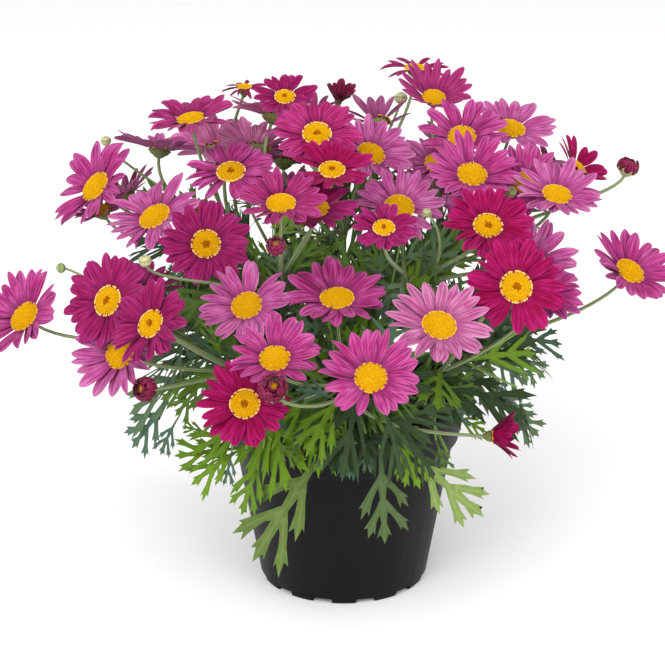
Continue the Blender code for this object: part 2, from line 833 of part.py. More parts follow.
def top_bough_path(mass):
    """The limb that goes on from the trunk's top end."""
    end = Vector((0.0, 0.0, FORK_HEIGHT)) + mass.along * BOUGH_REACH
    start = trunk_centre(TRUNK_HEIGHT) + UPWARD * 2 * GAP
    return [start, start.lerp(end, 0.5), end]


def make_bough(mass, collection, material, space):
    """A tapering limb from the side or top of the trunk to the foot of its mass."""
    if mass.tier.name == "top":
        path = top_bough_path(mass)
    elif mass.tier.name == "skirt":
        path = side_bough_path(mass, FORK_HEIGHT - LOW_BOUGH_DROP)
    else:
        path = side_bough_path(mass, FORK_HEIGHT + HIGH_BOUGH_RISE)
    steps = len(path) - 1
    radii = [BOUGH_RADIUS + (BOUGH_TIP_RADIUS - BOUGH_RADIUS) * i / steps for i in range(steps + 1)]
    name = mass.name.replace("mass", "bough")
    mesh = tube_mesh(name, path, radii, round_steps=1)
    space.add(name, mesh)
    return new_object(name, mesh, collection, material)


def build():
    clear_scene()
    plant = new_collection("potted_marguerite")
    cutters = new_collection("cutters")
    black_plastic = new_material("black_plastic", (0.012, 0.012, 0.013), 0.55)
    compost = new_material("compost", (0.045, 0.028, 0.018), 0.95)
    wood = new_material("stem_wood", (0.20, 0.22, 0.09), 0.75)
    leaf = new_material("leaf_and_bloom", (0.09, 0.20, 0.03), 0.6)
    blossom = new_material("bloom_and_leaf", (0.52, 0.03, 0.22), 0.6)

    space = Space()
    make_pot(plant, cutters, black_plastic)
    make_soil(plant, compost)
    make_trunk(plant, wood, space)
    for name in ("pot", "compost"):
        space.add(name, evaluated_mesh(bpy.data.objects[name], name + "_shape"))

    masses = make_masses()
    for mass in masses:
        make_bough(mass, plant, wood, space)
        add_stem(mass, space)
    for flower in set_back_heads(set_seen_heads()):
        nearest_mass(masses, flower.place).flowers.append(flower)
    for mass in masses:
        add_heads(mass, space)
    for mass in masses:
        add_stalks(mass, space)
    add_seen_leaves(masses, space)
    chance = random.Random(SEED)
    for mass in masses:
        add_leaves(mass, space, masses, chance)
    for mass in masses:
        material = leaf if mass.tier.name == "skirt" else blossom
        fuse(mass.name, mass.meshes, plant, material)


build()
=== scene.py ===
import json
import math
import random
from collections import namedtuple
from functools import partial

import bpy
import numpy as np
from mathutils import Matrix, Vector, noise

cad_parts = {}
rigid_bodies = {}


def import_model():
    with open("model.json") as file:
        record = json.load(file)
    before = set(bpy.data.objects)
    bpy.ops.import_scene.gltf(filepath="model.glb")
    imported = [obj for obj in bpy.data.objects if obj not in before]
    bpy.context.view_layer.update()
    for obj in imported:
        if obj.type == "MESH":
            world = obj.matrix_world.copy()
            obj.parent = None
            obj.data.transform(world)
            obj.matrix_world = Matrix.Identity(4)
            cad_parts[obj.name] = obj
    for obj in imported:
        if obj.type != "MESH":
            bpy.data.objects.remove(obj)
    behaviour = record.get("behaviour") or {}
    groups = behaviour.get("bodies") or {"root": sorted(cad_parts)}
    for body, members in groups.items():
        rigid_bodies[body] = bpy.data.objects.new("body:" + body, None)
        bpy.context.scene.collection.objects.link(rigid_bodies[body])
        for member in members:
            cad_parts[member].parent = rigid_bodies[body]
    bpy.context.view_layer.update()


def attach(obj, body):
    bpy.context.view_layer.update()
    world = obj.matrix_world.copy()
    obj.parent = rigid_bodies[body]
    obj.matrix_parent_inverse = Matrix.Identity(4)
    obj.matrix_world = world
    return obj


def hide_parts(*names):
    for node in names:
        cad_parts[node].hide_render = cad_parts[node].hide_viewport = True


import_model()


# Viewpoint
# The viewer stands a metre away and looks down a little. What one pixel spans at the point aimed at gives
# the lens. Places that are given in pixels below are seen from here.
IMAGE_PX = 665
MIDDLE_PX = IMAGE_PX / 2
VIEW_DISTANCE = 1.0
VIEW_FALL = math.radians(18.5)
VIEW_AIM = Vector((-0.0061, 0.0, 0.137))
PIXEL = 0.00053
SENSOR_MM = 36.0
NEAREST_SEEN = 0.05
AHEAD = Vector((0.0, math.cos(VIEW_FALL), -math.sin(VIEW_FALL)))
UPWARD_IN_VIEW = Vector((0.0, math.sin(VIEW_FALL), math.cos(VIEW_FALL)))
EYE = VIEW_AIM - AHEAD * VIEW_DISTANCE

lens = bpy.data.cameras.new("portrait_lens")
lens.sensor_width = SENSOR_MM
lens.lens = SENSOR_MM * VIEW_DISTANCE / (IMAGE_PX * PIXEL)
lens.clip_start = NEAREST_SEEN
camera = bpy.data.objects.new("portrait_camera", lens)
camera.location = EYE
camera.rotation_euler = AHEAD.to_track_quat("-Z", "Y").to_euler()
bpy.context.scene.collection.objects.link(camera)
bpy.context.scene.camera = camera


# Pot
# A 13.5 cm nursery pot of black polypropylene, blown thin in a steel mould: it tapers, its collar steps
# out under a rolled lip, and notches in its foot let water out. It stands on the lands between them.
POT_HEIGHT = 0.106
POT_BASE_RADIUS = 0.045
POT_RIM_RADIUS = 0.0675
POT_WALL = 0.0016
POT_FLOOR = 0.0046
POT_SIDES = 144
FLOOR_ROUNDING = 0.002
COLLAR_HEIGHT = 0.027
COLLAR_STEP = 0.0034
INNER_COLLAR_SHARE = 0.7
INNER_COLLAR_RISE = 0.003
LIP_ROUNDING = 0.0012
LIP_STEPS = 6
FOOT_COUNT = 12
FOOT_HEIGHT = 0.0028
FOOT_GAP_WIDTH = 0.0105
FOOT_GAP_DEPTH = 0.007
FOOT_GAP_SPARE = 0.002
EDGE_ROUNDING = 0.0003
UV_MAP = "OFBake"

# The section's points at the collar's underside and at the rounded foot: out from the wall, and up
COLLAR_SECTION = ((COLLAR_STEP, 0.0020), (COLLAR_STEP * 0.5, -0.0004), (0.0, -0.0032))
FOOT_SECTION = ((0.0004, 0.002), (-0.0002, 0.0006), (-0.001, 0.0))

# The sockets of a node that mixes two colours, and the way that a value is eased between two others
FACTOR, FIRST, SECOND, BLEND = 0, 6, 7, 2
SMOOTH = {"interpolation_type": "SMOOTHSTEP"}


def colour(code):
    """The linear colour of an sRGB hex value, opaque."""
    shares = [int(code[place : place + 2], 16) / 255 for place in (1, 3, 5)]
    return (*[s / 12.92 if s <= 0.04045 else ((s + 0.055) / 1.055) ** 2.4 for s in shares], 1.0)


def add_node(tree, kind, inputs=None, result=0, **settings):
    """Adds a shader node with its settings. Each input is a value or another node's output."""
    made = tree.nodes.new("ShaderNode" + kind)
    for name, setting in settings.items():
        setattr(made, name, setting)
    for socket, given in (inputs or {}).items():
        if isinstance(given, bpy.types.NodeSocket):
            tree.links.new(given, made.inputs[socket])
        else:
            made.inputs[socket].default_value = given
    return made.outputs[result] if made.outputs else None


def new_material(name, surface_of, *codes):
    """A material. surface_of adds its nodes by add_node, and gives the inputs of its surface."""
    material = bpy.data.materials.new(name)
    material.use_nodes = True
    material.node_tree.nodes.clear()
    add = partial(add_node, material.node_tree)
    add("OutputMaterial", {"Surface": add("BsdfPrincipled", surface_of(add, *codes))})
    return material


def dress(piece, slot, material, *nodes):
    """Gives a piece its material and its body, and hides the CAD nodes that it stands for. slot is not used.
    """
    piece.data.materials.clear()
    piece.data.materials.append(material)
    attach(piece, "root")
    if nodes:
        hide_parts(*nodes)


def wall_radius(height):
    """Outer radius of the pot's wall below the collar."""
    below_collar = POT_RIM_RADIUS - COLLAR_STEP - LIP_ROUNDING
    return POT_BASE_RADIUS + (below_collar - POT_BASE_RADIUS) * height / POT_HEIGHT


def round_axis(radius, height, angle):
    """The point at a radius, a height and an angle round the pot's axis."""
    return radius * math.cos(angle), radius * math.sin(angle), height


def ring_points(rows, sides, place):
    """Rows of points, each round a ring. place gives the point at a row and an angle."""
    return [place(row, math.tau * side / sides) for row in range(rows) for side in range(sides)]


def grid_faces(rows, columns, closed=False):
    """The faces of a grid of points, which closes round on itself across its columns if asked."""
    faces = []
    for row in range(rows - 1):
        for column in range(columns if closed else columns - 1):
            following = (column + 1) % columns
            near, far = row * columns, (row + 1) * columns
            faces.append((near + column, near + following, far + following, far + column))
    return faces


def fan_faces(tip, start, sides, flipped=False):
    """The faces that close a ring of points, which begins at start, with a tip."""
    faces = [(tip, start + side, start + (side + 1) % sides) for side in range(sides)]
    return [face[::-1] for face in faces] if flipped else faces


def pot_profile():
    """The pot's section as radius and height, from its floor up inside, over the lip and down outside."""
    collar_foot = POT_HEIGHT - COLLAR_HEIGHT
    wall = wall_radius(collar_foot)
    inner_floor = wall_radius(POT_FLOOR) - POT_WALL
    middle, level = POT_RIM_RADIUS - LIP_ROUNDING, POT_HEIGHT - LIP_ROUNDING
    turns = [math.pi * (1 - step / LIP_STEPS) for step in range(LIP_STEPS + 1)]
    return [
        (inner_floor - FLOOR_ROUNDING, POT_FLOOR),
        (inner_floor, POT_FLOOR + FLOOR_ROUNDING),
        (wall - POT_WALL, collar_foot),
        (wall - POT_WALL + COLLAR_STEP * INNER_COLLAR_SHARE, collar_foot + INNER_COLLAR_RISE),
        *[(middle + LIP_ROUNDING * math.cos(t), level + LIP_ROUNDING * math.sin(t)) for t in turns],
        (POT_RIM_RADIUS, POT_HEIGHT - 3 * LIP_ROUNDING),
        (POT_RIM_RADIUS - LIP_ROUNDING, POT_HEIGHT - 4 * LIP_ROUNDING),
        *[(wall + out, collar_foot + up) for out, up in COLLAR_SECTION],
        *[(POT_BASE_RADIUS + out, up) for out, up in FOOT_SECTION],
    ]


def new_piece(name, points, faces, marks=None, smooth=True):
    """A mesh object from points and faces. marks place each point on the piece's flat map."""
    mesh = bpy.data.meshes.new(name)
    mesh.from_pydata([tuple(p) for p in points], [], faces)
    mesh.polygons.foreach_set("use_smooth", [smooth] * len(mesh.polygons))
    if marks is not None:
        layer = mesh.uv_layers.new(name=UV_MAP)
        corners = np.empty(len(mesh.loops), dtype=np.int32)
        mesh.loops.foreach_get("vertex_index", corners)
        layer.data.foreach_set("uv", np.asarray(marks, dtype=np.float32)[corners].ravel())
    mesh.update()
    piece = bpy.data.objects.new(name, mesh)
    bpy.context.scene.collection.objects.link(piece)
    return piece


def cut_foot_gaps(pot):
    """Cuts the notches out of the foot and rounds the edges."""
    bars = bpy.data.collections.new("foot_gap_bars")
    bpy.context.scene.collection.children.link(bars)
    for number in range(FOOT_COUNT):
        angle = math.tau * (number + 0.5) / FOOT_COUNT - math.pi / 2
        bpy.ops.mesh.primitive_cube_add(size=1.0)
        bar = bpy.context.object
        for holder in list(bar.users_collection):
            holder.objects.unlink(bar)
        bars.objects.link(bar)
        middle = POT_BASE_RADIUS + FOOT_GAP_SPARE - FOOT_GAP_DEPTH / 2
        bar.location = round_axis(middle, 0.0, angle)
        bar.rotation_euler.z = angle
        bar.scale = (FOOT_GAP_DEPTH + 2 * FOOT_GAP_SPARE, FOOT_GAP_WIDTH, FOOT_HEIGHT * 2)
    cut = pot.modifiers.new("feet", "BOOLEAN")
    cut.operation = "DIFFERENCE"
    cut.operand_type = "COLLECTION"
    cut.collection = bars
    cut.solver = "EXACT"
    bpy.context.view_layer.update()
    graph = bpy.context.evaluated_depsgraph_get()
    shaped = bpy.data.meshes.new_from_object(pot.evaluated_get(graph))
    pot.modifiers.clear()
    pot.data = shaped
    for bar in list(bars.objects):
        bpy.data.objects.remove(bar, do_unlink=True)
    bpy.data.collections.remove(bars)
    rounding = pot.modifiers.new("worn_edges", "BEVEL")
    rounding.width = EDGE_ROUNDING
    rounding.segments = 2
    rounding.limit_method = "ANGLE"


def make_pot():
    profile = pot_profile()
    points = ring_points(len(profile), POT_SIDES, lambda row, angle: round_axis(*profile[row], angle))
    last = len(points) - POT_SIDES
    points += [(0.0, 0.0, POT_FLOOR), (0.0, 0.0, 0.0)]
    faces = [(b, a, d, c) for a, b, c, d in grid_faces(len(profile), POT_SIDES, closed=True)]
    faces += fan_faces(len(points) - 2, 0, POT_SIDES)
    faces += fan_faces(len(points) - 1, last, POT_SIDES, flipped=True)
    pot = new_piece("pot_shell", points, faces)
    cut_foot_gaps(pot)
    return pot


def black_polypropylene(add):
    """Blown polypropylene: matt from the sandblasted mould, with a faint sheen and dried water marks."""
    place = add("TexCoord", result="Object")
    # The mould's grain is 0.4 mm
    grain = add("TexNoise", {"Vector": place, "Scale": 1 / 0.0008, "Detail": 3.0})
    drawn = add("Mapping", {"Vector": place, "Scale": (1.0, 1.0, 0.12)})
    drips = add("TexNoise", {"Vector": drawn, "Scale": 1 / 0.009, "Detail": 6.0, "Roughness": 0.65})
    dust = add("MapRange", {"Value": drips, "From Min": 0.45, "From Max": 0.85, "To Max": 0.25}, **SMOOTH)
    mix = {FACTOR: dust, FIRST: colour("#0A0A0C"), SECOND: colour("#201F1D")}
    tone = add("Mix", mix, BLEND, data_type="RGBA")
    matt = {"Value": drips, "From Min": 0.3, "From Max": 0.8, "To Min": 0.46, "To Max": 0.6}
    rough = add("MapRange", matt)
    relief = add("Bump", {"Height": grain, "Distance": 0.00012, "Strength": 0.35})
    surface = {"Base Color": tone, "Roughness": rough, "IOR": 1.49, "Normal": relief}
    return surface | {"Specular IOR Level": 0.13}


dress(make_pot(), "black_plastic", new_material("blown_black_polypropylene", black_polypropylene), "pot")


# Compost
# Moist peat and bark compost that fills the pot to a finger's width under its lip, sunk a little at the wall,
# with loose crumbs of bark on it.
SOIL_BELOW_RIM = 0.010
SOIL_CROWN = 0.003
SOIL_RINGS = 44
SOIL_SIDES = 132
SOIL_ROUGH = 0.0016
SOIL_LUMPS = 0.006
SOIL_GRAINS = 0.0022
CRUMB_COUNT = 420
CRUMB_SIZES = (0.0008, 0.0026)
CRUMB_WIDTHS = (0.35, 0.6)
CRUMB_FLATNESS = 0.6
CRUMB_SIDES = 5
CRUMB_LIE = (1.0, 1.0, 0.4)
CRUMB_TOP = 0.0012
CRUMBS_FROM_WALL = 0.003
GAP = 0.0003
SEED = 7

# The rings of a crumb: how far along it each is, from -1 to 1, and its width as a share of the widest
CRUMB_RINGS = ((-1.0, 0.45), (-0.3, 1.0), (0.5, 0.8), (1.0, 0.3))


class Sheaf:
    """Gathers small meshes of one kind, to be joined as one piece."""

    def __init__(self, name):
        self.name = name
        self.points, self.marks, self.faces = [], [], []
        self.count = 0

    def add(self, points, marks, faces):
        self.points.append(np.asarray(points, dtype=float))
        self.marks.append(np.asarray(marks, dtype=float))
        start = self.count
        self.faces += [tuple(start + corner for corner in face) for face in faces]
        self.count += len(points)

    def bind(self, smooth=True):
        points, marks = np.concatenate(self.points), np.concatenate(self.marks)
        return new_piece(self.name, points, self.faces, marks, smooth)


def closed_faces(rows, sides):
    """The faces of a tube that is shut at both its ends."""
    ends = [tuple(range(sides))[::-1], tuple(range((rows - 1) * sides, rows * sides))]
    return grid_faces(rows, sides, closed=True) + ends


def soil_height():
    return POT_HEIGHT - SOIL_BELOW_RIM


def soil_point(radius, angle):
    """The point of the compost's rough top at a radius and an angle."""
    x, y, _ = round_axis(radius, 0.0, angle)
    out = math.hypot(x, y) / (wall_radius(soil_height()) - POT_WALL)
    lumps = noise.noise(Vector((x, y, 0.0)) / SOIL_LUMPS) * 0.6
    grains = noise.noise(Vector((x, y, 0.03)) / SOIL_GRAINS) * 0.4
    return x, y, soil_height() - SOIL_CROWN * out**3 + SOIL_ROUGH * (lumps + grains)


def make_compost():
    """The fill: its rough top in rings from the middle out, then its side, down to the pot's floor."""
    edge = wall_radius(soil_height() - SOIL_CROWN) - POT_WALL - GAP
    foot = wall_radius(POT_FLOOR + GAP) - POT_WALL - 2 * GAP

    def place(row, angle):
        if row == SOIL_RINGS:
            return round_axis(foot, POT_FLOOR + GAP, angle)
        return soil_point(edge * (row + 1) / SOIL_RINGS, angle)

    points = ring_points(SOIL_RINGS + 1, SOIL_SIDES, place)
    points += [soil_point(0.0, 0.0), (0.0, 0.0, POT_FLOOR + GAP)]
    faces = grid_faces(SOIL_RINGS + 1, SOIL_SIDES, closed=True)
    faces += fan_faces(len(points) - 2, 0, SOIL_SIDES, flipped=True)
    faces += fan_faces(len(points) - 1, SOIL_RINGS * SOIL_SIDES, SOIL_SIDES)
    return new_piece("compost_fill", points, faces)


def make_crumbs(chance):
    """Flat broken bits of bark and peat, half sunk in the surface."""
    crumbs = Sheaf("compost_crumbs")
    furthest = wall_radius(soil_height()) - POT_WALL - CRUMBS_FROM_WALL
    for _ in range(CRUMB_COUNT):
        radius = furthest * math.sqrt(chance.random())
        x, y, top = soil_point(radius, chance.uniform(0.0, math.tau))
        size = chance.uniform(*CRUMB_SIZES)
        long_way = Vector([chance.uniform(-reach, reach) for reach in CRUMB_LIE]).normalized()
        middle = Vector((x, y, top + chance.uniform(0.0, CRUMB_TOP)))
        across = long_way.orthogonal().normalized()
        third = long_way.cross(across)
        points = []
        for level, share in CRUMB_RINGS:
            for side in range(CRUMB_SIDES):
                turn = math.tau * side / CRUMB_SIDES + level
                wide = share * chance.uniform(*CRUMB_WIDTHS)
                ray = across * math.cos(turn) + third * math.sin(turn) * CRUMB_FLATNESS
                points.append(middle + long_way * size * level + ray * size * wide)
        crumbs.add(points, [(0.5, 0.5)] * len(points), closed_faces(len(CRUMB_RINGS), CRUMB_SIDES))
    return crumbs.bind(smooth=False)


def moist_compost(add):
    """Peat and composted bark: dark brown, crumbly, dull, with paler fibres and a damp glint."""
    place = add("TexCoord", result="Object")
    # Crumbs of 2 mm, and fibres of 0.5 mm between them
    crumbs = add("TexVoronoi", {"Vector": place, "Scale": 1 / 0.002})
    fibres = add("TexNoise", {"Vector": place, "Scale": 1 / 0.001, "Detail": 8.0})
    pale = add("MapRange", {"Value": fibres, "From Min": 0.35, "From Max": 0.75}, **SMOOTH)
    mix = {FACTOR: pale, FIRST: colour("#1D140D"), SECOND: colour("#4A3523")}
    brown = add("Mix", mix, BLEND, data_type="RGBA")
    patches = add("MapRange", {"Value": crumbs, "From Min": 0.2, "From Max": 0.8, "To Max": 0.5}, **SMOOTH)
    tone = add("Mix", {FACTOR: patches, FIRST: brown, SECOND: colour("#120C08")}, BLEND, data_type="RGBA")
    relief = add("Bump", {"Height": fibres, "Distance": 0.0006, "Strength": 0.8})
    return {"Base Color": tone, "Roughness": 0.92, "IOR": 1.4, "Specular IOR Level": 0.25, "Normal": relief}


chance = random.Random(SEED)
compost_finish = new_material("moist_crumbled_compost", moist_compost)
dress(make_compost(), "compost", compost_finish, "compost")
dress(make_crumbs(chance), "compost", compost_finish)


# Woody stem and boughs
# The short stem has turned woody, with a flare at its root. Limbs fork from its wall and top, green-brown
# and ridged, each tapering to the leafy stem that it carries.
TRUNK_HEIGHT = 0.030
TRUNK_RADIUS = 0.0052
TRUNK_FLARE = 1.55
TRUNK_TAPER = 0.15
TRUNK_LEAN = 0.002
TRUNK_SUNK = 0.002
TRUNK_SIDES = 40
TRUNK_ROWS = 60
FORK_HEIGHT = 0.112
LOW_BOUGH_DROP = 0.004
HIGH_BOUGH_RISE = 0.006
BOUGH_RADII = (0.0019, 0.0015)
BOUGH_SUNK = 0.001
BOUGH_REACH = 0.036
BOUGH_SIDES = 18
BOUGH_ROWS = 40
BARK_RIDGES = 11
BARK_DEPTH = 0.07
UPWARD = Vector((0.0, 0.0, 1.0))
FORK = Vector((0.0, 0.0, FORK_HEIGHT))

# A ring of masses: their count, the turn of the first and the lift of all in degrees, how far each reaches in
# metres, its leaves and shoots, and the length of its longest leaves in metres
Tier = namedtuple("Tier", "name count first_turn lift reach leaves shoots leaf_length")
TIERS = (
    Tier("skirt", 9, 0.0, 17.0, 0.078, 9, 5, 0.064),
    Tier("middle", 5, 36.0, 50.0, 0.082, 9, 6, 0.056),
    Tier("top", 1, 0.0, 86.0, 0.085, 9, 6, 0.050),
)


def facing(turn, lift):
    """The unit vector that points turn degrees to the viewer's right of -Y and lift degrees above level."""
    turn, lift = math.radians(turn), math.radians(lift)
    return Vector((math.sin(turn) * math.cos(lift), -math.cos(turn) * math.cos(lift), math.sin(lift)))


class Mass:
    """One mass of the crown: the direction it grows in, and its leafy stem from foot to tip."""

    def __init__(self, name, tier, turn):
        self.name, self.tier = name, tier
        self.along = facing(turn, tier.lift)
        self.foot = FORK + self.along * (BOUGH_REACH + GAP)
        self.tip = FORK + self.along * tier.reach
        self.flowers = []

    def stem_point(self, share):
        return self.foot.lerp(self.tip, share)


def make_masses():
    masses = []
    for tier in TIERS:
        for number in range(tier.count):
            turn = tier.first_turn + 360.0 * number / tier.count
            name = f"mass_{tier.name}_{number + 1}" if tier.count > 1 else f"mass_{tier.name}"
            masses.append(Mass(name, tier, turn))
    return masses


def bezier(p0, p1, p2, p3, steps):
    points = []
    for step in range(steps + 1):
        t = step / steps
        s = 1 - t
        points.append(p0 * s**3 + p1 * 3 * s * s * t + p2 * 3 * s * t * t + p3 * t**3)
    return points


def tapered(radii, rows):
    return [radii[0] + (radii[1] - radii[0]) * row / rows for row in range(rows + 1)]


def turned(across, other, angle):
    """The direction at an angle from across, on the way to other."""
    return across * math.cos(angle) + other * math.sin(angle)


def add_tube(sheaf, path, radii, sides, relief=None):
    """Adds a round limb along a path. relief is how far its wall stands out at an angle and a row."""
    forward = [(after - before).normalized() for before, after in zip(path, path[1:])]
    forward.append(forward[-1])
    across = forward[0].orthogonal().normalized()
    points, marks = [], []
    for row, (middle, radius) in enumerate(zip(path, radii)):
        across = (across - forward[row] * across.dot(forward[row])).normalized()
        other = forward[row].cross(across)
        for side in range(sides):
            angle = math.tau * side / sides
            wall = radius * (1 + (relief(angle, row) if relief else 0.0))
            points.append(middle + turned(across, other, angle) * wall)
            marks.append((row / len(path), side / sides))
    sheaf.add(points, marks, closed_faces(len(path), sides))


def bark_relief(rows, depth):
    """Lengthwise ridges that wander, with the scars of shed leaves."""

    def relief(angle, row):
        place = Vector((math.cos(angle) * 1.4, math.sin(angle) * 1.4, row / rows * 5.0))
        ridge = math.cos(BARK_RIDGES * angle + 3.0 * noise.noise(place))
        scar = max(0.0, noise.noise(place * 2.3 + Vector((7.0, 1.0, 4.0))) - 0.25)
        return depth * (0.6 * ridge + 0.8 * noise.noise(place * 3.0)) + 1.6 * depth * scar

    return relief


def trunk_radius(height):
    """Radius of the woody stem at a height above its foot: flared at its root, then nearly straight."""
    share = height / TRUNK_HEIGHT
    return TRUNK_RADIUS * (1 + (TRUNK_FLARE - 1) * math.exp(-6 * share) - TRUNK_TAPER * share)


def trunk_centre(height):
    """The middle of the woody stem at a height above its foot. It leans more the higher it is."""
    lean = TRUNK_LEAN * (height / TRUNK_HEIGHT) ** 2
    return Vector((lean, 0.0, soil_height() + GAP + height))


def make_trunk():
    trunk = Sheaf("woody_stem")
    heights = [TRUNK_HEIGHT * row / TRUNK_ROWS for row in range(TRUNK_ROWS + 1)]
    path = [trunk_centre(height) for height in heights]
    path[0] = path[0] - UPWARD * TRUNK_SUNK
    radii = [trunk_radius(height) for height in heights]
    add_tube(trunk, path, radii, TRUNK_SIDES, bark_relief(TRUNK_ROWS, BARK_DEPTH))
    return trunk.bind()


def bough_path(mass):
    """A limb's way from the trunk's wall or top out to its mass."""
    end = FORK + mass.along * BOUGH_REACH
    if mass.tier.name == "top":
        start = trunk_centre(TRUNK_HEIGHT) - UPWARD * BOUGH_SUNK
        return bezier(start, start.lerp(end, 0.33), start.lerp(end, 0.66), end, BOUGH_ROWS)
    level = FORK_HEIGHT - LOW_BOUGH_DROP if mass.tier.name == "skirt" else FORK_HEIGHT + HIGH_BOUGH_RISE
    flat = Vector((mass.along.x, mass.along.y, 0.0)).normalized()
    height = level - soil_height() - GAP
    start = trunk_centre(height) + flat * (trunk_radius(height) - BOUGH_RADII[0] * 0.5)
    span = (end - start).length
    return bezier(start, start + flat * span * 0.3, end - mass.along * span * 0.35, end, BOUGH_ROWS)


def make_boughs(masses):
    boughs = Sheaf("boughs")
    relief = bark_relief(BOUGH_ROWS, BARK_DEPTH * 0.7)
    for mass in masses:
        add_tube(boughs, bough_path(mass), tapered(BOUGH_RADII, BOUGH_ROWS), BOUGH_SIDES, relief)
    return boughs.bind()


def young_bark(add):
    """Young bark: dull green-brown, paler on its ridges, corky in the furrows."""
    place = add("TexCoord", result="Object")
    # Furrows every 1.5 mm, four times as long as they are wide
    drawn = add("Mapping", {"Vector": place, "Scale": (1.0, 1.0, 0.25)})
    furrow = add("TexNoise", {"Vector": drawn, "Scale": 1 / 0.0015, "Detail": 6.0, "Roughness": 0.6})
    ridge = add("MapRange", {"Value": furrow, "From Min": 0.4, "From Max": 0.65}, **SMOOTH)
    mix = {FACTOR: ridge, FIRST: colour("#4B4527"), SECOND: colour("#8B8A4E")}
    tone = add("Mix", mix, BLEND, data_type="RGBA")
    relief = add("Bump", {"Height": furrow, "Distance": 0.0004, "Strength": 0.7})
    return {"Base Color": tone, "Roughness": 0.82, "IOR": 1.45, "Specular IOR Level": 0.3, "Normal": relief}


masses = make_masses()
bark = new_material("young_ridged_bark", young_bark)
dress(make_trunk(), "stem_wood", bark, "trunk")
bough_names = [mass.name.replace("mass", "bough") for mass in masses]
dress(make_boughs(masses), "stem_wood", bark, *bough_names)


# Flower heads
# Each head stands alone on a bare stalk. The heads lie on a dome over the pot, and where one would meet
# another it stands further back. The far side carries as many, in a spiral.
DOME_CENTRE = Vector((0.0, 0.0, 0.120))
DOME_RADIUS = 0.160
DOME_RISE = 0.152
BACK_BLOOM_COUNT = 240
BACK_BLOOM_WIDTH = 0.045
BACK_BLOOM_SPACING = 0.036
BACK_LIMIT = -0.08
CREST_LIMIT = -0.30
BACK_LOWEST_LIFT = 8.0
BACK_HEAD_LIFT = 30.0
SAMPLE_SHARES = (0.4, 0.7, 1.0)
SAMPLE_SIDES = 16
HEAD_CLEARANCE = 0.0042
PUSH_STEP = 0.003
LONGEST_PUSH = 0.060
EDGE_ON = 0.12
GOLDEN_ANGLE = math.radians(137.5)

# A head: the middle of its disc in pixels, the way it faces (degrees right of the viewer and above
# level), its width in millimetres as it looks a metre away, its stage and its tint. They are listed from
# the front to the back.

# This one hangs low beside the pot, so many millimetres in front of the pot's middle
LOW_HEAD = (493, 436, 80, 5, 26, "goblet", "crimson")
LOW_HEAD_NEAR = 78

FRONT_ROW = (
    (273, 388, 5, 34, 16, "half", "dark_red"), (275, 359, -4, 55, 52, "open", "mauve_pink"),
    (371, 378, 2, 42, 55, "open", "mauve_pink"), (245, 404, -6, 33, 51, "young", "crimson"),
    (439, 326, 10, 54, 58, "open", "rose_mauve"), (337, 299, -3, 69, 57, "open", "mauve_pink"),
    (247, 306, -14, 48, 52, "open", "light_mauve"), (516, 287, 8, 25, 54, "young", "crimson"),
)
SIDES = (
    (151, 324, -41, 36, 51, "young", "deep_magenta"), (108, 301, -36, 30, 53, "young", "deep_magenta"),
    (25, 317, -45, 44, 55, "open", "mauve_pink"), (630, 272, 38, 52, 51, "open", "mauve_pink"),
    (145, 389, -30, 20, 13, "half", "dark_red"), LOW_HEAD, (628, 167, 80, 70, 12, "half", "dark_red"),
    (61, 268, -75, 5, 8, "bud", "green"),
)
MIDDLE_ROW = (
    (206, 244, 0, 28, 49, "young", "deep_magenta"), (384, 228, 2, 58, 37, "young", "deep_magenta"),
    (488, 226, 2, 50, 49, "young", "crimson"), (281, 204, 0, 64, 49, "open", "magenta"),
    (155, 217, -38, 54, 54, "open", "light_mauve"), (557, 195, 20, 65, 50, "open", "light_mauve"),
    (472, 175, 8, 53, 50, "open", "mauve_pink"), (96, 187, -52, 40, 55, "open", "mauve_pink"),
    (332, 170, 0, 64, 44, "young", "crimson"), (231, 172, -8, 60, 48, "young", "mauve_pink"),
    (317, 134, 0, 51, 48, "young", "bright_magenta"), (399, 208, 5, 48, 50, "open", "light_mauve"),
    (316, 208, 12, 62, 45, "open", "deep_magenta"), (276, 246, 0, 40, 11, "half", "dark_red"),
    (452, 200, -20, 70, 12, "half", "light_mauve"), (427, 213, 5, 70, 8, "bud", "pale"),
    (511, 192, 25, 40, 9, "bud", "pale"), (145, 261, -25, 70, 10, "bud", "pale"),
)
BEHIND = (
    (121, 353, -34, 34, 56, "open", "light_mauve"), (540, 294, 20, 60, 50, "open", "mauve_pink"),
    (531, 265, 12, 22, 52, "open", "light_mauve"), (526, 184, 10, 42, 45, "open", "mauve_pink"),
    (102, 211, -50, 62, 34, "cupped", "light_mauve"), (577, 167, 66, 50, 36, "cupped", "crimson"),
    (371, 154, 26, 52, 47, "open", "light_mauve"), (511, 129, 16, 64, 47, "open", "light_mauve"),
    (462, 137, -5, 54, 47, "open", "mauve_pink"), (437, 164, 6, 56, 43, "open", "light_mauve"),
    (140, 289, -178, 46, 48, "open", "magenta"),
)
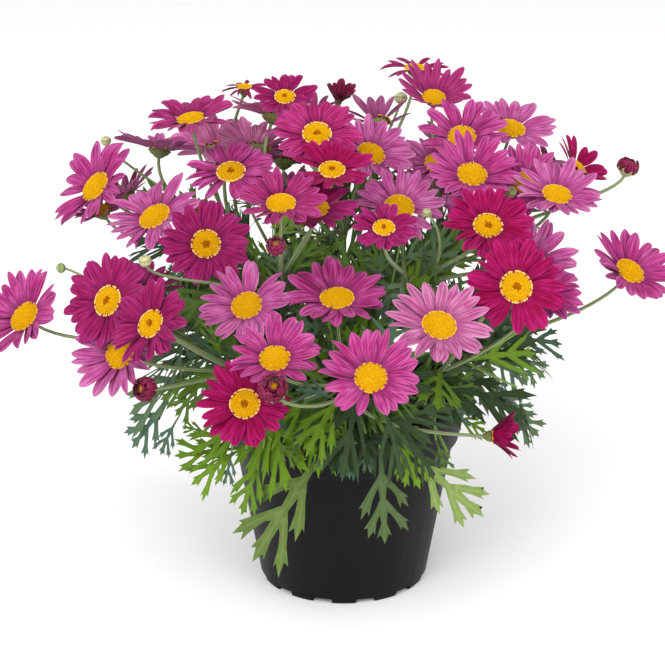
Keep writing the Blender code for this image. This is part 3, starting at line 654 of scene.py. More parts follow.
# The heads here that face away from the viewer take pale_mauve and rose_mauve: painted light, paler than
# their own colour, for the light that comes through their petals and to offset the shade on their backs
TOP_ROW = (
    (285, 97, 2, 60, 35, "young", "deep_magenta"), (191, 119, -34, 76, 47, "open", "magenta"),
    (434, 98, 12, 60, 40, "cupped", "magenta"), (415, 68, 15, 82, 36, "flat", "deep_magenta"),
    (244, 87, -10, 84, 26, "flat", "deep_magenta"), (160, 148, 140, 76, 50, "open", "light_mauve"),
    (273, 114, 165, 69, 48, "open", "pale_mauve"), (216, 150, 172, 46, 52, "open", "pale_mauve"),
    (316, 112, 165, 50, 33, "open", "rose_mauve"), (256, 147, 175, 52, 48, "open", "pale_mauve"),
    (339, 99, 40, 70, 17, "goblet", "dark_red"), (401, 98, 0, 85, 10, "bud", "pale"),
    (379, 121, 175, 50, 38, "cupped", "rose_mauve"), (106, 141, -30, 75, 8, "bud", "pale"),
    (284, 160, 170, 60, 42, "open", "light_mauve"),
)
SEEN_HEADS = FRONT_ROW + SIDES + MIDDLE_ROW + BEHIND + TOP_ROW

# Places where the view goes right through the crown to the light behind it: their middle and size in pixels
OPENINGS = (
    (183, 174, 34, 32), (202, 198, 30, 14), (150, 264, 24, 26), (78, 262, 30, 24), (95, 241, 44, 26),
    (122, 380, 42, 16), (190, 404, 22, 34), (157, 416, 26, 16), (128, 424, 20, 14), (198, 342, 24, 22),
    (260, 234, 24, 22), (301, 236, 14, 18), (346, 229, 40, 28), (383, 291, 12, 16), (408, 246, 16, 18),
    (432, 222, 36, 20), (468, 268, 26, 38), (564, 326, 44, 56), (556, 384, 40, 30), (512, 378, 12, 16),
    (520, 396, 16, 14), (474, 440, 44, 38), (590, 230, 60, 60), (640, 310, 50, 30),
)
BACK_MARGIN = 16
BACK_TINTS = ("mauve_pink", "magenta", "crimson", "light_mauve", "deep_magenta", "mauve_pink", "rose_mauve")


def sight_line(px, py):
    """The unit direction of the line of sight through a pixel."""
    line = AHEAD * VIEW_DISTANCE
    line += Vector((1.0, 0.0, 0.0)) * (px - MIDDLE_PX) * PIXEL
    line += UPWARD_IN_VIEW * (MIDDLE_PX - py) * PIXEL
    return line.normalized()


def dome_distance(line):
    """How far along the line the dome's near side is, or where the line passes the dome if it misses it."""
    shrink = Vector((1 / DOME_RADIUS, 1 / DOME_RADIUS, 1 / DOME_RISE))
    start = (EYE - DOME_CENTRE) * shrink
    step = line * shrink
    a, b, c = step.dot(step), start.dot(step), start.dot(start) - 1
    return (-b - math.sqrt(max(0.0, b * b - a * c))) / a


def point_near(px, py, near):
    """The point seen at a pixel that is so many millimetres in front of the pot's middle."""
    line = sight_line(px, py)
    return EYE + line * ((-near / 1000 - EYE.y) / line.y)


def seen_at(point):
    """The pixel at which a point is seen."""
    offset = point - EYE
    scale = VIEW_DISTANCE / (offset.dot(AHEAD) * PIXEL)
    return MIDDLE_PX + offset.x * scale, MIDDLE_PX - offset.dot(UPWARD_IN_VIEW) * scale


def in_an_opening(point, margin=0):
    """Whether a point is seen in one of the openings, or within a margin of it in pixels."""
    px, py = seen_at(point)
    return any(
        abs(px - middle_px) < width / 2 + margin and abs(py - middle_py) < height / 2 + margin
        for middle_px, middle_py, width, height in OPENINGS
    )


class Flower:
    """A head set in the crown: its middle, the way it faces, its radius, its stage and its tint."""

    def __init__(self, place, normal, radius, stage, tint):
        self.place, self.normal, self.radius = place, normal, radius
        self.stage, self.tint = stage, tint
        self.side = normal.orthogonal().normalized()
        self.rest = normal.cross(self.side)

    def ray(self, angle):
        return turned(self.side, self.rest, angle)

    def samples(self):
        """Points over the head, close enough together that no neighbour slips between them."""
        yield self.place
        for share in SAMPLE_SHARES:
            for step in range(SAMPLE_SIDES):
                yield self.place + self.ray(math.tau * step / SAMPLE_SIDES) * self.radius * share

    def covers(self, point, clearance, margin=0.0):
        """Whether a point is nearer to the head's plane than the clearance, and in its round."""
        offset = point - self.place
        height = offset.dot(self.normal)
        return abs(height) < clearance and (offset - self.normal * height).length < self.radius + margin

    def meets(self, other):
        if (self.place - other.place).length > self.radius + other.radius + HEAD_CLEARANCE:
            return False
        pairs = ((self, other), (other, self))
        return any(one.covers(p, HEAD_CLEARANCE, GAP) for one, two in pairs for p in two.samples())


def lies_behind(flower, other):
    """Whether a head is the further one wherever the two lie over each other in the view."""
    away, near = flower.place - EYE, other.place - EYE
    if away.angle(near) * VIEW_DISTANCE > flower.radius + other.radius:
        return True
    for point in flower.samples():
        line = (point - EYE).normalized()
        slant = line.dot(other.normal)
        if abs(slant) < EDGE_ON:
            continue
        distance = near.dot(other.normal) / slant
        if (EYE + line * distance - other.place).length < other.radius:
            if (point - EYE).length < distance + HEAD_CLEARANCE:
                return False
    return True


def set_seen_heads():
    """Sets each listed head on the dome and pushes it back along its line of sight until it is clear."""
    flowers = []
    for head in SEEN_HEADS:
        px, py, turn, lift, width, stage, tint = head
        line = sight_line(px, py)
        distance = dome_distance(line)
        if head == LOW_HEAD:
            distance = (point_near(px, py, LOW_HEAD_NEAR) - EYE).length
        furthest = distance + LONGEST_PUSH
        while True:
            radius = width / 2000 * distance / VIEW_DISTANCE
            flower = Flower(EYE + line * distance, facing(turn, lift), radius, stage, tint)
            hidden = distance > furthest or all(lies_behind(flower, other) for other in flowers)
            if hidden and not any(flower.meets(other) for other in flowers):
                break
            distance += PUSH_STEP
        flowers.append(flower)
    return flowers


def set_back_heads(flowers):
    """Fills the side that the view doesn't reach by a golden spiral on the dome, kept off other heads."""
    for step in range(BACK_BLOOM_COUNT):
        rise = math.sin(math.radians(BACK_LOWEST_LIFT))
        height = rise + (1 - rise) * (step + 0.5) / BACK_BLOOM_COUNT
        lift = math.degrees(math.asin(height))
        turn = math.degrees(GOLDEN_ANGLE * step)
        out = facing(turn, lift)
        place = DOME_CENTRE + out * Vector((DOME_RADIUS, DOME_RADIUS, DOME_RISE))
        if out.dot(-AHEAD) > BACK_LIMIT or in_an_opening(place, BACK_MARGIN):
            continue
        if any((place - other.place).length < BACK_BLOOM_SPACING for other in flowers):
            continue
        tint = BACK_TINTS[len(flowers) % len(BACK_TINTS)]
        # Heads on the crest are seen from behind: pale_mauve there is painted light, for the light through
        # their petals, offsetting the shade on their backs
        if out.dot(-AHEAD) > CREST_LIMIT:
            tint = "pale_mauve"
        stage = "young" if tint == "crimson" else "open"
        flower = Flower(place, facing(turn, 0.5 * lift + BACK_HEAD_LIFT), BACK_BLOOM_WIDTH / 2, stage, tint)
        if not any(flower.meets(other) for other in flowers):
            flowers.append(flower)
    return flowers


def nearest_mass(place):
    direction = (place - FORK).normalized()
    return max(masses, key=lambda mass: mass.along.dot(direction))


flowers = set_back_heads(set_seen_heads())
for flower in flowers:
    nearest_mass(flower.place).flowers.append(flower)


# Green stems and stalks
# Leafy stems go on from the boughs, shoots and twigs fork from them, and a bare ribbed stalk rises from a
# stem to each head. All are soft green growth of this year, 1 to 3 mm thick.
STEM_RADII = (BOUGH_RADII[1], 0.0011)
STEM_SIDES = 9
STEM_ROWS = 10
SHOOT_RADII = (0.0012, 0.0008)
SHOOT_LENGTH_SHARE = 0.6
SHOOTS_FROM = 0.12
SHOOTS_SPAN = 0.86
SHOOT_ROWS = 6
SHOOT_LEAVES = 6
TWIG_RADII = (0.0008, 0.0005)
TWIG_PLACE = 0.35
TWIG_LENGTH_SHARE = 0.4
TWIG_LEAVES = 4
STALK_LEAVES = 5
STALK_LEAF_LENGTH = 0.038
STALK_LEAVES_TO = 0.48
STALK_RADII = (0.0012, 0.0008)
BUD_STALK_RADII = (0.0009, 0.0006)
STALK_ROWS = 16
STALK_SHARES = (0.92, 0.75, 0.58, 0.40)
STALK_BOWS = (0.0, 0.006, 0.012, 0.018)
STALK_BERTH = 0.003
NECK_SHARE = 0.34
SMALL_NECK_SHARE = 0.12
RIB_COUNT = 5
RIB_DEPTH = 0.07
CALYX_DEPTH = 0.0045

# Where the low head's stalk runs: pixels, and millimetres in front of the pot's middle
LOW_STALK_PLACES = ((372, 416, 84), (405, 432, 86), (448, 434, 80))

# A shoot: its path, its mass, the length of its leaves as a share of the longest, their count and its radii
Shoot = namedtuple("Shoot", "path mass length leaves radii")


def ribbed(angle, row):
    """A stalk's ribs, which run its length."""
    return RIB_DEPTH * math.cos(RIB_COUNT * angle)


def spiral(axis, step):
    """The unit vector across an axis that turns by the golden angle at each step."""
    across = axis.orthogonal().normalized()
    return turned(across, axis.cross(across), GOLDEN_ANGLE * step)


def bent_path(start, along, length, sag, rows):
    """A shoot's way: it leaves along its direction, and lifts or falls by sag at its tip."""
    steps = [row / rows for row in range(rows + 1)]
    return [start + along * length * t + UPWARD * sag * length * t * t for t in steps]


def along_path(path, share):
    """The point at a share of a path, and the way the path runs there."""
    place = min(max(share, 0.0), 0.999) * (len(path) - 1)
    first = int(place)
    return path[first].lerp(path[first + 1], place - first), (path[first + 1] - path[first]).normalized()


def crosses_a_head(path, own):
    """Whether a path goes through the face of any head but its own."""
    return any(flower is not own and flower.covers(p, STALK_BERTH) for flower in flowers for p in path)


def neck(flower):
    """Where a head's stalk ends: in the foot of its calyx."""
    below = {"half": flower.radius * 0.9, "bud": 0.0}.get(flower.stage, CALYX_DEPTH * 0.8)
    return flower.place - flower.normal * below


def stalk_path(mass, flower):
    """The plainest way from the leafy stem to the back of a head that goes through no other head."""
    end = neck(flower)
    straight = SMALL_NECK_SHARE if flower.stage in ("half", "bud") else NECK_SHARE
    best = None
    for bow in STALK_BOWS:
        for share in STALK_SHARES:
            for quarter in range(4 if bow else 1):
                start = mass.stem_point(share)
                span = (end - start).length
                chord = (end - start).normalized()
                across = chord.orthogonal().normalized()
                aside = turned(across, chord.cross(across), math.pi / 2 * quarter)
                first = start + (mass.along * 0.6 + chord * 0.4) * span * 0.35 + aside * bow
                second = end - flower.normal * span * straight + aside * bow
                path = bezier(start, first, second, end, STALK_ROWS)
                best = best or path
                if not crosses_a_head(path[:-2], flower):
                    return path
    return best


def grow_shoots(mass, chance):
    """The leafy stem, the shoots that fork from it and the twigs that fork from those."""
    tier = mass.tier
    stem = bent_path(mass.foot, mass.along, (mass.tip - mass.foot).length, 0.0, STEM_ROWS)
    shoots = [Shoot(stem, mass, 1.0, tier.leaves, STEM_RADII)]
    for number in range(tier.shoots):
        share = SHOOTS_FROM + SHOOTS_SPAN * (number + 0.5) / tier.shoots
        root = mass.stem_point(share)
        out = (mass.along * (0.35 + 0.6 * share) + spiral(mass.along, number * 2 + 1) * 0.9).normalized()
        length = tier.leaf_length * SHOOT_LENGTH_SHARE * chance.uniform(0.8, 1.2)
        path = bent_path(root, out, length, chance.uniform(-0.15, 0.3), SHOOT_ROWS)
        shoots.append(Shoot(path, mass, 0.85, SHOOT_LEAVES, SHOOT_RADII))
        start, way = along_path(path, TWIG_PLACE)
        side = (way * 0.6 + spiral(way, number) * 0.8).normalized()
        reach = tier.leaf_length * TWIG_LENGTH_SHARE * chance.uniform(0.8, 1.2)
        path = bent_path(start, side, reach, chance.uniform(-0.1, 0.3), SHOOT_ROWS)
        shoots.append(Shoot(path, mass, 0.6, TWIG_LEAVES, TWIG_RADII))
    return shoots


def make_stems(shoots):
    stems = Sheaf("leafy_stems")
    for shoot in shoots:
        add_tube(stems, shoot.path, tapered(shoot.radii, len(shoot.path) - 1), STEM_SIDES, ribbed)
    return stems.bind()


def low_stalk_path(mass, flower):
    """The stalk that comes out under the front heads and runs low over the leaves to the right."""
    start, rise, run = (point_near(*place) for place in LOW_STALK_PLACES)
    first, second = mass.stem_point(0.7), mass.stem_point(0.9)
    inner = bezier(first, second, start.lerp(rise, -0.6), start, STALK_ROWS // 2)
    return inner[:-1] + bezier(start, rise, run, neck(flower), STALK_ROWS)


def make_stalks():
    stalks = Sheaf("flower_stalks")
    for mass in masses:
        for flower in mass.flowers:
            flower.stalk = stalk_path(mass, flower)
            if flower is flowers[SEEN_HEADS.index(LOW_HEAD)]:
                flower.stalk = low_stalk_path(masses[0], flower)
            radii = BUD_STALK_RADII if flower.stage == "bud" else STALK_RADII
            add_tube(stalks, flower.stalk, tapered(radii, len(flower.stalk) - 1), STEM_SIDES, ribbed)
    return stalks.bind()


def green_stem(add, face, rib):
    """Soft green stem, ribbed lengthwise: fresh and faintly waxy, its ribs paler than the furrows."""
    around = add("SeparateXYZ", {"Vector": add("TexCoord", result="UV")}, "Y")
    phase = add("Math", {0: around, 1: math.tau * RIB_COUNT}, operation="MULTIPLY")
    wave = add("Math", {0: phase}, operation="COSINE")
    ribs = add("MapRange", {"Value": wave, "From Min": -0.6, "From Max": 1.0}, **SMOOTH)
    tone = add("Mix", {FACTOR: ribs, FIRST: colour(face), SECOND: colour(rib)}, BLEND, data_type="RGBA")
    relief = add("Bump", {"Height": wave, "Distance": 0.0001, "Strength": 0.4})
    surface = {"Base Color": tone, "Roughness": 0.55, "IOR": 1.42, "Sheen Weight": 0.1, "Normal": relief}
    return surface | {"Specular IOR Level": 0.35}


mass_names = [mass.name for mass in masses]
shoots = [shoot for mass in masses for shoot in grow_shoots(mass, chance)]
shoot_skin = new_material("ribbed_green_shoot", green_stem, "#55742F", "#86A250")
stalk_skin = new_material("ribbed_pale_stalk", green_stem, "#5F7242", "#909A70")
dress(make_stems(shoots), "foliage", shoot_skin, *mass_names)
dress(make_stalks(), "foliage", stalk_skin, *mass_names)


# Leaves
# Each leaf is a flat rib with strap lobes on both sides that point forward and end in teeth. Low ones in
# front are a fresh yellow green, those at the sides and inside the crown a bluish grey green, and many low
# ones on the right a deep green that is painted shade.
LEAF_HALF_WIDTH = 0.044
LEAF_FOOT_WIDTH = 0.020
LEAF_CHANNEL = 0.010
LEAF_CURL = 0.25
LOBE_HALF_BASE = 0.068
LOBE_LEAN = math.radians(38)
LOBE_BEND = 0.20
LOWEST_LEAF_TIP = 0.084
LEAF_REACH = 0.116
HIGHEST_LEAF_TIP = 0.215
BANDS = 4
LOW_LEAF_DROOP = 0.4
FRONT_FROM = -0.035
LOW_UP_TO = 0.150
SIDES_FROM = 0.055
FOOTING_ROWS = 8
LEAF_CHECKS = (0.35, 0.6, 0.8, 1.0)
FACE_BERTH = 0.004
FACE_ROOM = 0.05

# The rows of a lobe, and of the leaf's own end: how far out the middle and the edges are as shares of the
# lobe's length, and the edges' distance from the middle as a share of half its width. Each row that stands
# out past its neighbours is a pair of teeth.
TOOTHED_LOBE = ((0.28, 0.28, 0.82), (0.52, 0.52, 0.92), (0.66, 0.84, 1.65), (0.82, 0.77, 0.80))
PLAIN_LOBE = ((0.45, 0.45, 0.85), (0.78, 0.75, 0.72))
TOOTHED_END = ((0.36, 0.34, 0.85), (0.56, 0.78, 1.90), (0.78, 0.70, 0.95))

# A leaf: where its lobes stand and how long they are as shares of its length, and their rows
TOOTHED_LEAF = ((0.36, 0.62), (0.38, 0.34), TOOTHED_LOBE)
SMALL_LEAF = ((0.38, 0.64), (0.42, 0.34), PLAIN_LOBE)

# Leaves that stand out of the outline or hang over the pot: the root and the tip in pixels, how far each
# is in front of the pot's middle in millimetres, and the tint
HANGING_LEAVES = (
    (326, 448, 77, 252, 563, 80, "sage_light"), (263, 450, 68, 240, 516, 76, "fresh"),
    (240, 448, 60, 174, 462, 62, "fresh"), (246, 446, 62, 190, 484, 66, "fresh"),
    (228, 448, 62, 212, 480, 66, "fresh"), (210, 433, 50, 181, 428, 46, "fresh"),
    (232, 450, 64, 227, 487, 66, "grey"), (380, 448, 80, 386, 545, 84, "sage_dark"),
    (346, 436, 82, 350, 480, 86, "grey"), (366, 440, 82, 364, 474, 86, "grey"),
    (332, 440, 82, 316, 468, 85, "grey"), (406, 448, 78, 477, 527, 74, "pale_fresh"),
    (396, 432, 82, 420, 490, 84, "fresh"), (436, 440, 70, 447, 474, 72, "mid"),
)
SPREADING_LEAVES = (
    (286, 436, 80, 345, 420, 88, "fresh"), (300, 428, 78, 322, 462, 86, "fresh"),
    (272, 440, 74, 300, 462, 84, "mid"), (452, 414, 55, 487, 433, 50, "fresh"),
    (436, 418, 66, 470, 402, 66, "mid"), (424, 392, 70, 478, 384, 64, "mid"),
    (426, 404, 74, 474, 416, 68, "grey"), (430, 380, 62, 488, 366, 52, "sage"),
    (502, 400, 25, 536, 441, 20, "sage"), (498, 394, 10, 532, 416, 0, "sage"),
    (505, 345, 30, 546, 378, 24, "sage"), (488, 352, 40, 528, 386, 34, "grey"),
    (504, 340, 15, 562, 338, 10, "grey"), (168, 400, 30, 131, 448, 20, "grey"),
    (178, 418, 32, 157, 453, 30, "grey"), (198, 368, 30, 127, 411, 16, "sage"),
    (202, 372, 34, 162, 404, 30, "mid"), (205, 378, 38, 176, 418, 36, "mid"),
)

# The greens of each part of the crown, with the share of its leaves up to which each is dealt out
GREENS = {
    "low left": (("fresh", 0.62), ("mid", 0.88), ("deep", 0.93), ("grey", 1.0)),
    # deep is painted shade, dealt out most among these low leaves on the right
    "low right": (("deep", 0.35), ("grey", 0.55), ("mid", 0.85), ("fresh", 1.0)),
    "side": (("grey", 0.45), ("sage", 0.75), ("mid", 1.0)),
    "inside": (("sage_light", 0.30), ("mid", 0.55), ("fresh", 0.65), ("sage", 1.0)),
}
LEAF_TINTS = {
    "fresh": ("#557810", "#829C36"),
    "pale_fresh": ("#6E843E", "#A2B27C"),
    "sage_light": ("#50642A", "#788A56"),
    "sage_dark": ("#42552E", "#667A4C"),
    "mid": ("#4A6822", "#6E8640"),
    "sage": ("#4C6444", "#7A9072"),
    "grey": ("#3F5A46", "#6C8470"),
    # Painted shade: a darker copy of the leaf green
    "deep": ("#283C20", "#485A36"),
}


def lobe_points(near, far, hand, length, lean, steps, chance):
    """The points of a lobe on the rib's edge between near and far: rows of three, then its tip."""
    way = np.array((math.cos(lean), hand * math.sin(lean)))
    basal = np.array((-way[1], way[0])) * hand
    half = np.linalg.norm(far - near) / 2 * math.sin(LOBE_LEAN)

    def middle(share):
        bend = np.array((LOBE_BEND * length * share**2, 0.0))
        return (near + far) / 2 + way * length * share + bend

    points = []
    for out, edge_out, wide in steps:
        left, right = (half * wide * chance.uniform(0.8, 1.15) for _ in range(2))
        points.append((*(middle(edge_out) + basal * left), 0.0, 0.05))
        points.append((*middle(out), -LEAF_CHANNEL * 0.6, 0.5))
        points.append((*(middle(edge_out) - basal * right), 0.0, 0.95))
    points.append((*middle(1.0), 0.0, 0.5))
    return points


def strip_faces(base, first, rows):
    """The faces of a lobe: from the three points of its base over each row of three to its tip."""
    faces = []
    for row in range(rows):
        basal, middle, distal = first + 3 * row, first + 3 * row + 1, first + 3 * row + 2
        faces.append((base[1], middle, basal, base[0]))
        faces.append((base[2], distal, middle, base[1]))
        base = (basal, middle, distal)
    tip = first + 3 * rows
    return faces + [(base[1], tip, base[0]), (base[2], tip, base[1])]


def row_of_three(out, edge_out, left, right, depth):
    """The points over the rib: its left edge, its middle and its right edge."""
    return [(edge_out, left, 0.0, 0.95), (out, 0.0, -depth, 0.5), (edge_out, -right, 0.0, 0.05)]


def leaf_parts(places, lengths, steps, chance):
    """A leaf laid out flat with a length of 1: its points and its faces.

    Each point is (out, across, height, map), where map is how far across the rib or the lobe it is.
    """
    rows = [(0.0, LEAF_FOOT_WIDTH), (places[0] * 0.5, LEAF_FOOT_WIDTH * 1.2)]
    for place in places:
        rows.append((place - LOBE_HALF_BASE, LEAF_HALF_WIDTH * 0.75))
        rows.append((place + LOBE_HALF_BASE, LEAF_HALF_WIDTH))
    points, faces = [], []
    for out, half in rows:
        points += row_of_three(out, out, half, half, LEAF_CHANNEL)
    for row in range(len(rows) - 1):
        near, far = 3 * row, 3 * row + 3
        for hand, edge in ((1, 0), (-1, 2)):
            made = [(near + 1, far + 1, far + edge, near + edge)]
            if row >= 2 and row % 2 == 0:
                start = len(points)
                ends = [np.array(points[row_start + edge][:2]) for row_start in (near, far)]
                length = lengths[row // 2 - 1] * chance.uniform(0.8, 1.2)
                lean = LOBE_LEAN * chance.uniform(0.8, 1.2)
                points += [(*((ends[0] + ends[1]) / 2), -LEAF_CHANNEL * 0.3, 0.5)]
                points += lobe_points(*ends, hand, length, lean, steps, chance)
                made = [(near + 1, far + 1, far + edge, start, near + edge)]
                made += strip_faces((near + edge, start, far + edge), start + 1, len(steps))
            faces += made if hand > 0 else [face[::-1] for face in made]
    last = rows[-1][0]
    start = len(points)
    for *outs, wide in TOOTHED_END:
        sides = [LEAF_HALF_WIDTH * wide * chance.uniform(0.8, 1.2) for _ in range(2)]
        points += row_of_three(*[last + (1 - last) * out for out in outs], *sides, LEAF_CHANNEL * 0.6)
    points.append((1.0, 0.0, 0.0, 0.5))
    end = 3 * (len(rows) - 1)
    faces += strip_faces((end, end + 1, end + 2), start, len(TOOTHED_END))
    return np.array(points), faces


def add_leaf(sheaf, root, along, face, length, droop, toothed, chance):
    """Adds a leaf that grows from root along its way, and falls by droop at its tip."""
    flat, faces = leaf_parts(*(TOOTHED_LEAF if toothed else SMALL_LEAF), chance)
    along = along.normalized()
    side = face.cross(along).normalized()
    face = along.cross(side).normalized()
    out, across, height = flat[:, 0:1], flat[:, 1:2], flat[:, 2:3]
    bend = chance.uniform(-0.12, 0.12)
    twist = chance.uniform(-0.3, 0.3)
    height = height - LEAF_CURL * across**2 + twist * across * out
    points = np.array(root) + np.array(along) * out * length
    points = points + np.array(side) * (across + bend * out**2) * length + np.array(face) * height * length
    points = points - np.array(UPWARD) * droop * length * out**2
    band = chance.randrange(BANDS)
    marks = np.stack([flat[:, 0], (band + flat[:, 3]) / BANDS], axis=1)
    sheaf.add(points, marks, faces)


head_places, head_normals, head_radii = (
    np.array([getattr(flower, part) for flower in flowers]) for part in ("place", "normal", "radius")
)


def hides_a_face(point):
    """Whether a point is right over the face of a head, where no leaf grows."""
    offset = np.array(point) - head_places
    height = (offset * head_normals).sum(axis=1)
    out = np.linalg.norm(offset - head_normals * height[:, None], axis=1)
    return bool(((height > -FACE_BERTH) & (height < FACE_ROOM) & (out < head_radii)).any())


def has_room(root, out, length, droop):
    """Whether a leaf stays in the crown, off the heads' faces and out of the openings."""
    places = [root + out * length * share - UPWARD * droop * length * share**2 for share in LEAF_CHECKS]
    tip = places[-1]
    if not LOWEST_LEAF_TIP < tip.z < HIGHEST_LEAF_TIP or math.hypot(tip.x, tip.y) > LEAF_REACH:
        return False
    return not any(hides_a_face(p) or in_an_opening(p) for p in places)


def leaf_face(root, chance):
    """The way a leaf's upper side looks: to the light, which is up and away from the plant's middle."""
    outward = Vector((root.x, root.y, 0.0)).normalized()
    astray = Vector([chance.uniform(-0.35, 0.35) for _ in range(3)])
    return UPWARD * 0.5 + outward * 0.9 + astray


def leaf_tint(root, chance):
    """Which green a leaf has: mostly fresh low in front on the left, grey and sage at the sides, sage and mid
    inside, and low on the right often the deep green, which is painted shade.
    """
    part = "inside"
    if root.y < FRONT_FROM and root.z < LOW_UP_TO:
        part = "low left" if root.x < 0.0 else "low right"
    elif abs(root.x) > SIDES_FROM:
        part = "side"
    roll = chance.random()
    return next(tint for tint, share in GREENS[part] if roll < share)


def set_listed_leaves(blades, droop, leaves, footings, chance):
    """Sets each listed leaf on a twig of its own from the nearest leafy stem."""
    for *ends, tint in blades:
        root, tip = point_near(*ends[:3]), point_near(*ends[3:])
        mass = nearest_mass(root)
        start = mass.stem_point(0.8)
        length = (tip - root).length
        span = (root - start).length
        reach = tip - root + UPWARD * droop * length
        first, second = start + mass.along * span * 0.4, root - reach.normalized() * span * 0.3
        twig = bezier(start, first, second, root, FOOTING_ROWS)
        add_tube(footings, twig, tapered(TWIG_RADII, FOOTING_ROWS), STEM_SIDES, ribbed)
        face = UPWARD * 0.4 - AHEAD
        add_leaf(leaves[tint], root, reach, face, reach.length, droop, True, chance)


def grow_leaf(leaves, root, out, length, droop, toothed, chance):
    """Adds a leaf of the crown if there is room for it."""
    if has_room(root, out, length, droop):
        sheaf = leaves[leaf_tint(root, chance)]
        add_leaf(sheaf, root, out, leaf_face(root, chance), length, droop, toothed, chance)


def make_leaves(chance):
    leaves = {tint: Sheaf("leaves_" + tint) for tint in LEAF_TINTS}
    footings = Sheaf("leaf_twigs")
    set_listed_leaves(HANGING_LEAVES, 0.10, leaves, footings, chance)
    set_listed_leaves(SPREADING_LEAVES, 0.04, leaves, footings, chance)
    for shoot in shoots:
        tier = shoot.mass.tier
        for step in range(shoot.leaves):
            share = (step + 0.6) / shoot.leaves
            root, way = along_path(shoot.path, share)
            out = (way * (0.5 + 0.5 * share) + spiral(way, step) * (1.0 - 0.4 * share)).normalized()
            length = tier.leaf_length * shoot.length * chance.uniform(0.65, 1.0) * (1.1 - 0.35 * share)
            droop = chance.uniform(0.05, 0.3) + LOW_LEAF_DROOP * max(0.0, -out.z)
            if nearest_mass(root + out * length * 0.6) is shoot.mass:
                grow_leaf(leaves, root, out, length, droop, shoot.length > 0.8, chance)
    for flower in flowers:
        for step in range(STALK_LEAVES):
            share = 0.06 + STALK_LEAVES_TO * (step + chance.random()) / STALK_LEAVES
            root, way = along_path(flower.stalk, share)
            out = (way + spiral(way, step) * 0.9).normalized()
            length = STALK_LEAF_LENGTH * chance.uniform(0.7, 1.15) * (1.15 - 0.5 * share)
            grow_leaf(leaves, root, out, length, chance.uniform(0.0, 0.2), step < 2, chance)
    return leaves, footings


def read_bands(add, flat, span):
    """The shade, from 0 up to span, of the band of the flat map that a blade lies in, and how far in it is.

    That is 0 at the blade's edges and 0.5 on its veins or its middle line.
    """
    bands = add("Math", {0: add("SeparateXYZ", {"Vector": flat}, "Y"), 1: BANDS}, operation="MULTIPLY")
    number = add("Math", {0: bands}, operation="FLOOR")
    shade = add("Math", {0: number, 1: span / BANDS}, operation="MULTIPLY")
    return shade, add("Math", {0: bands, 1: 0.5}, operation="PINGPONG")


def lobed_leaf(add, blade, rib):
    """A living leaf blade: matt with a soft waxy bloom, mottled, its rib and lobe veins paler."""
    place = add("TexCoord", result="Object")
    band, inward = read_bands(add, add("TexCoord", result="UV"), 0.28)
    vein = add("MapRange", {"Value": inward, "From Min": 0.34, "From Max": 0.48, "To Max": 0.30}, **SMOOTH)
    # Mottling of 3 mm, and the leaf's fine net of veins, drawn at 0.6 mm so that it shows
    mottle = add("TexNoise", {"Vector": place, "Scale": 1 / 0.003, "Detail": 3.0})
    net = add("TexVoronoi", {"Vector": place, "Scale": 1 / 0.0012}, feature="DISTANCE_TO_EDGE")
    spotted = add("MapRange", {"Value": mottle, "From Min": 0.35, "From Max": 0.8, "To Max": 0.25}, **SMOOTH)
    light = add("Math", {0: vein, 1: spotted}, operation="MAXIMUM")
    paled = add("Mix", {FACTOR: light, FIRST: colour(blade), SECOND: colour(rib)}, BLEND, data_type="RGBA")
    tone = add("Mix", {FACTOR: band, FIRST: paled, SECOND: colour("#203018")}, BLEND, data_type="RGBA")
    relief = add("Bump", {"Height": net, "Distance": 0.0002, "Strength": 0.5})
    surface = {"Base Color": tone, "Roughness": 0.62, "IOR": 1.42, "Sheen Weight": 0.05, "Normal": relief}
    return surface | {"Specular IOR Level": 0.2}


leaves, leaf_twigs = make_leaves(chance)
for tint, sheaf in leaves.items():
    blade_skin = new_material(f"{tint}_green_lobed_leaf", lobed_leaf, *LEAF_TINTS[tint])
    dress(sheaf.bind(), "foliage", blade_skin, *mass_names)
dress(leaf_twigs.bind(), "foliage", shoot_skin)


# Petals
# About twenty strap petals ring each disc, each with two grooves down its face and a round tip with three
# faint teeth. Old ones stand apart and fade to mauve, young ones overlap and are a deep magenta.
DISC_SHARE = 0.325
PETAL_SHAFT_ROWS = 6
PETAL_TIP_ROWS = 5
PETAL_COLUMNS = 7
PETAL_FULLEST = 0.45
PETAL_FOOT_WIDTH = 0.46
PETAL_GROOVE = 0.0003
LOW_PETAL_RISE = 0.08
LOW_PETAL_SHORTENING = 0.08
PETAL_LAYER = 0.0007
PETAL_SUNK = 0.0006
PETAL_START = 0.84
GROOVE_PLACE = 1 / 3
LOST_PETALS = 0.03
FULL_HEAD = 0.025
SMALL_HEAD = 0.020
SMALL_HEAD_SHARE = 0.78

# The petals of a stage: their count, width in metres on a 50 mm head, rise, droop, sag, roll in degrees,
# the shares of their length that the tip takes, of their width that its end keeps, and of its notches, how
# far round the head each may stray as a share of its place, and how pointed the tip is, from 0.5, round
Ray = namedtuple("Ray", "count width rise droop sag roll tip blunt notch stray point")
RAYS = {
    "open": Ray(21, 0.0068, 0.42, 0.13, 0.04, 7.0, 0.44, 0.16, 0.012, 0.32, 0.64),
    "young": Ray(23, 0.0073, 0.24, 0.08, 0.04, 8.0, 0.40, 0.28, 0.036, 0.26, 0.54),
    "flat": Ray(16, 0.0060, 0.12, 0.16, 0.04, 7.0, 0.46, 0.16, 0.020, 0.30, 0.62),
    "cupped": Ray(18, 0.0070, 0.72, 0.20, 0.00, 6.0, 0.46, 0.16, 0.010, 0.25, 0.65),
    "goblet": Ray(15, 0.0130, 1.60, 0.36, 0.00, 0.0, 0.40, 0.30, 0.020, 0.10, 0.50),
}
FOLDED_PETALS = 0.22
PETAL_FOLD = (30.0, 62.0)
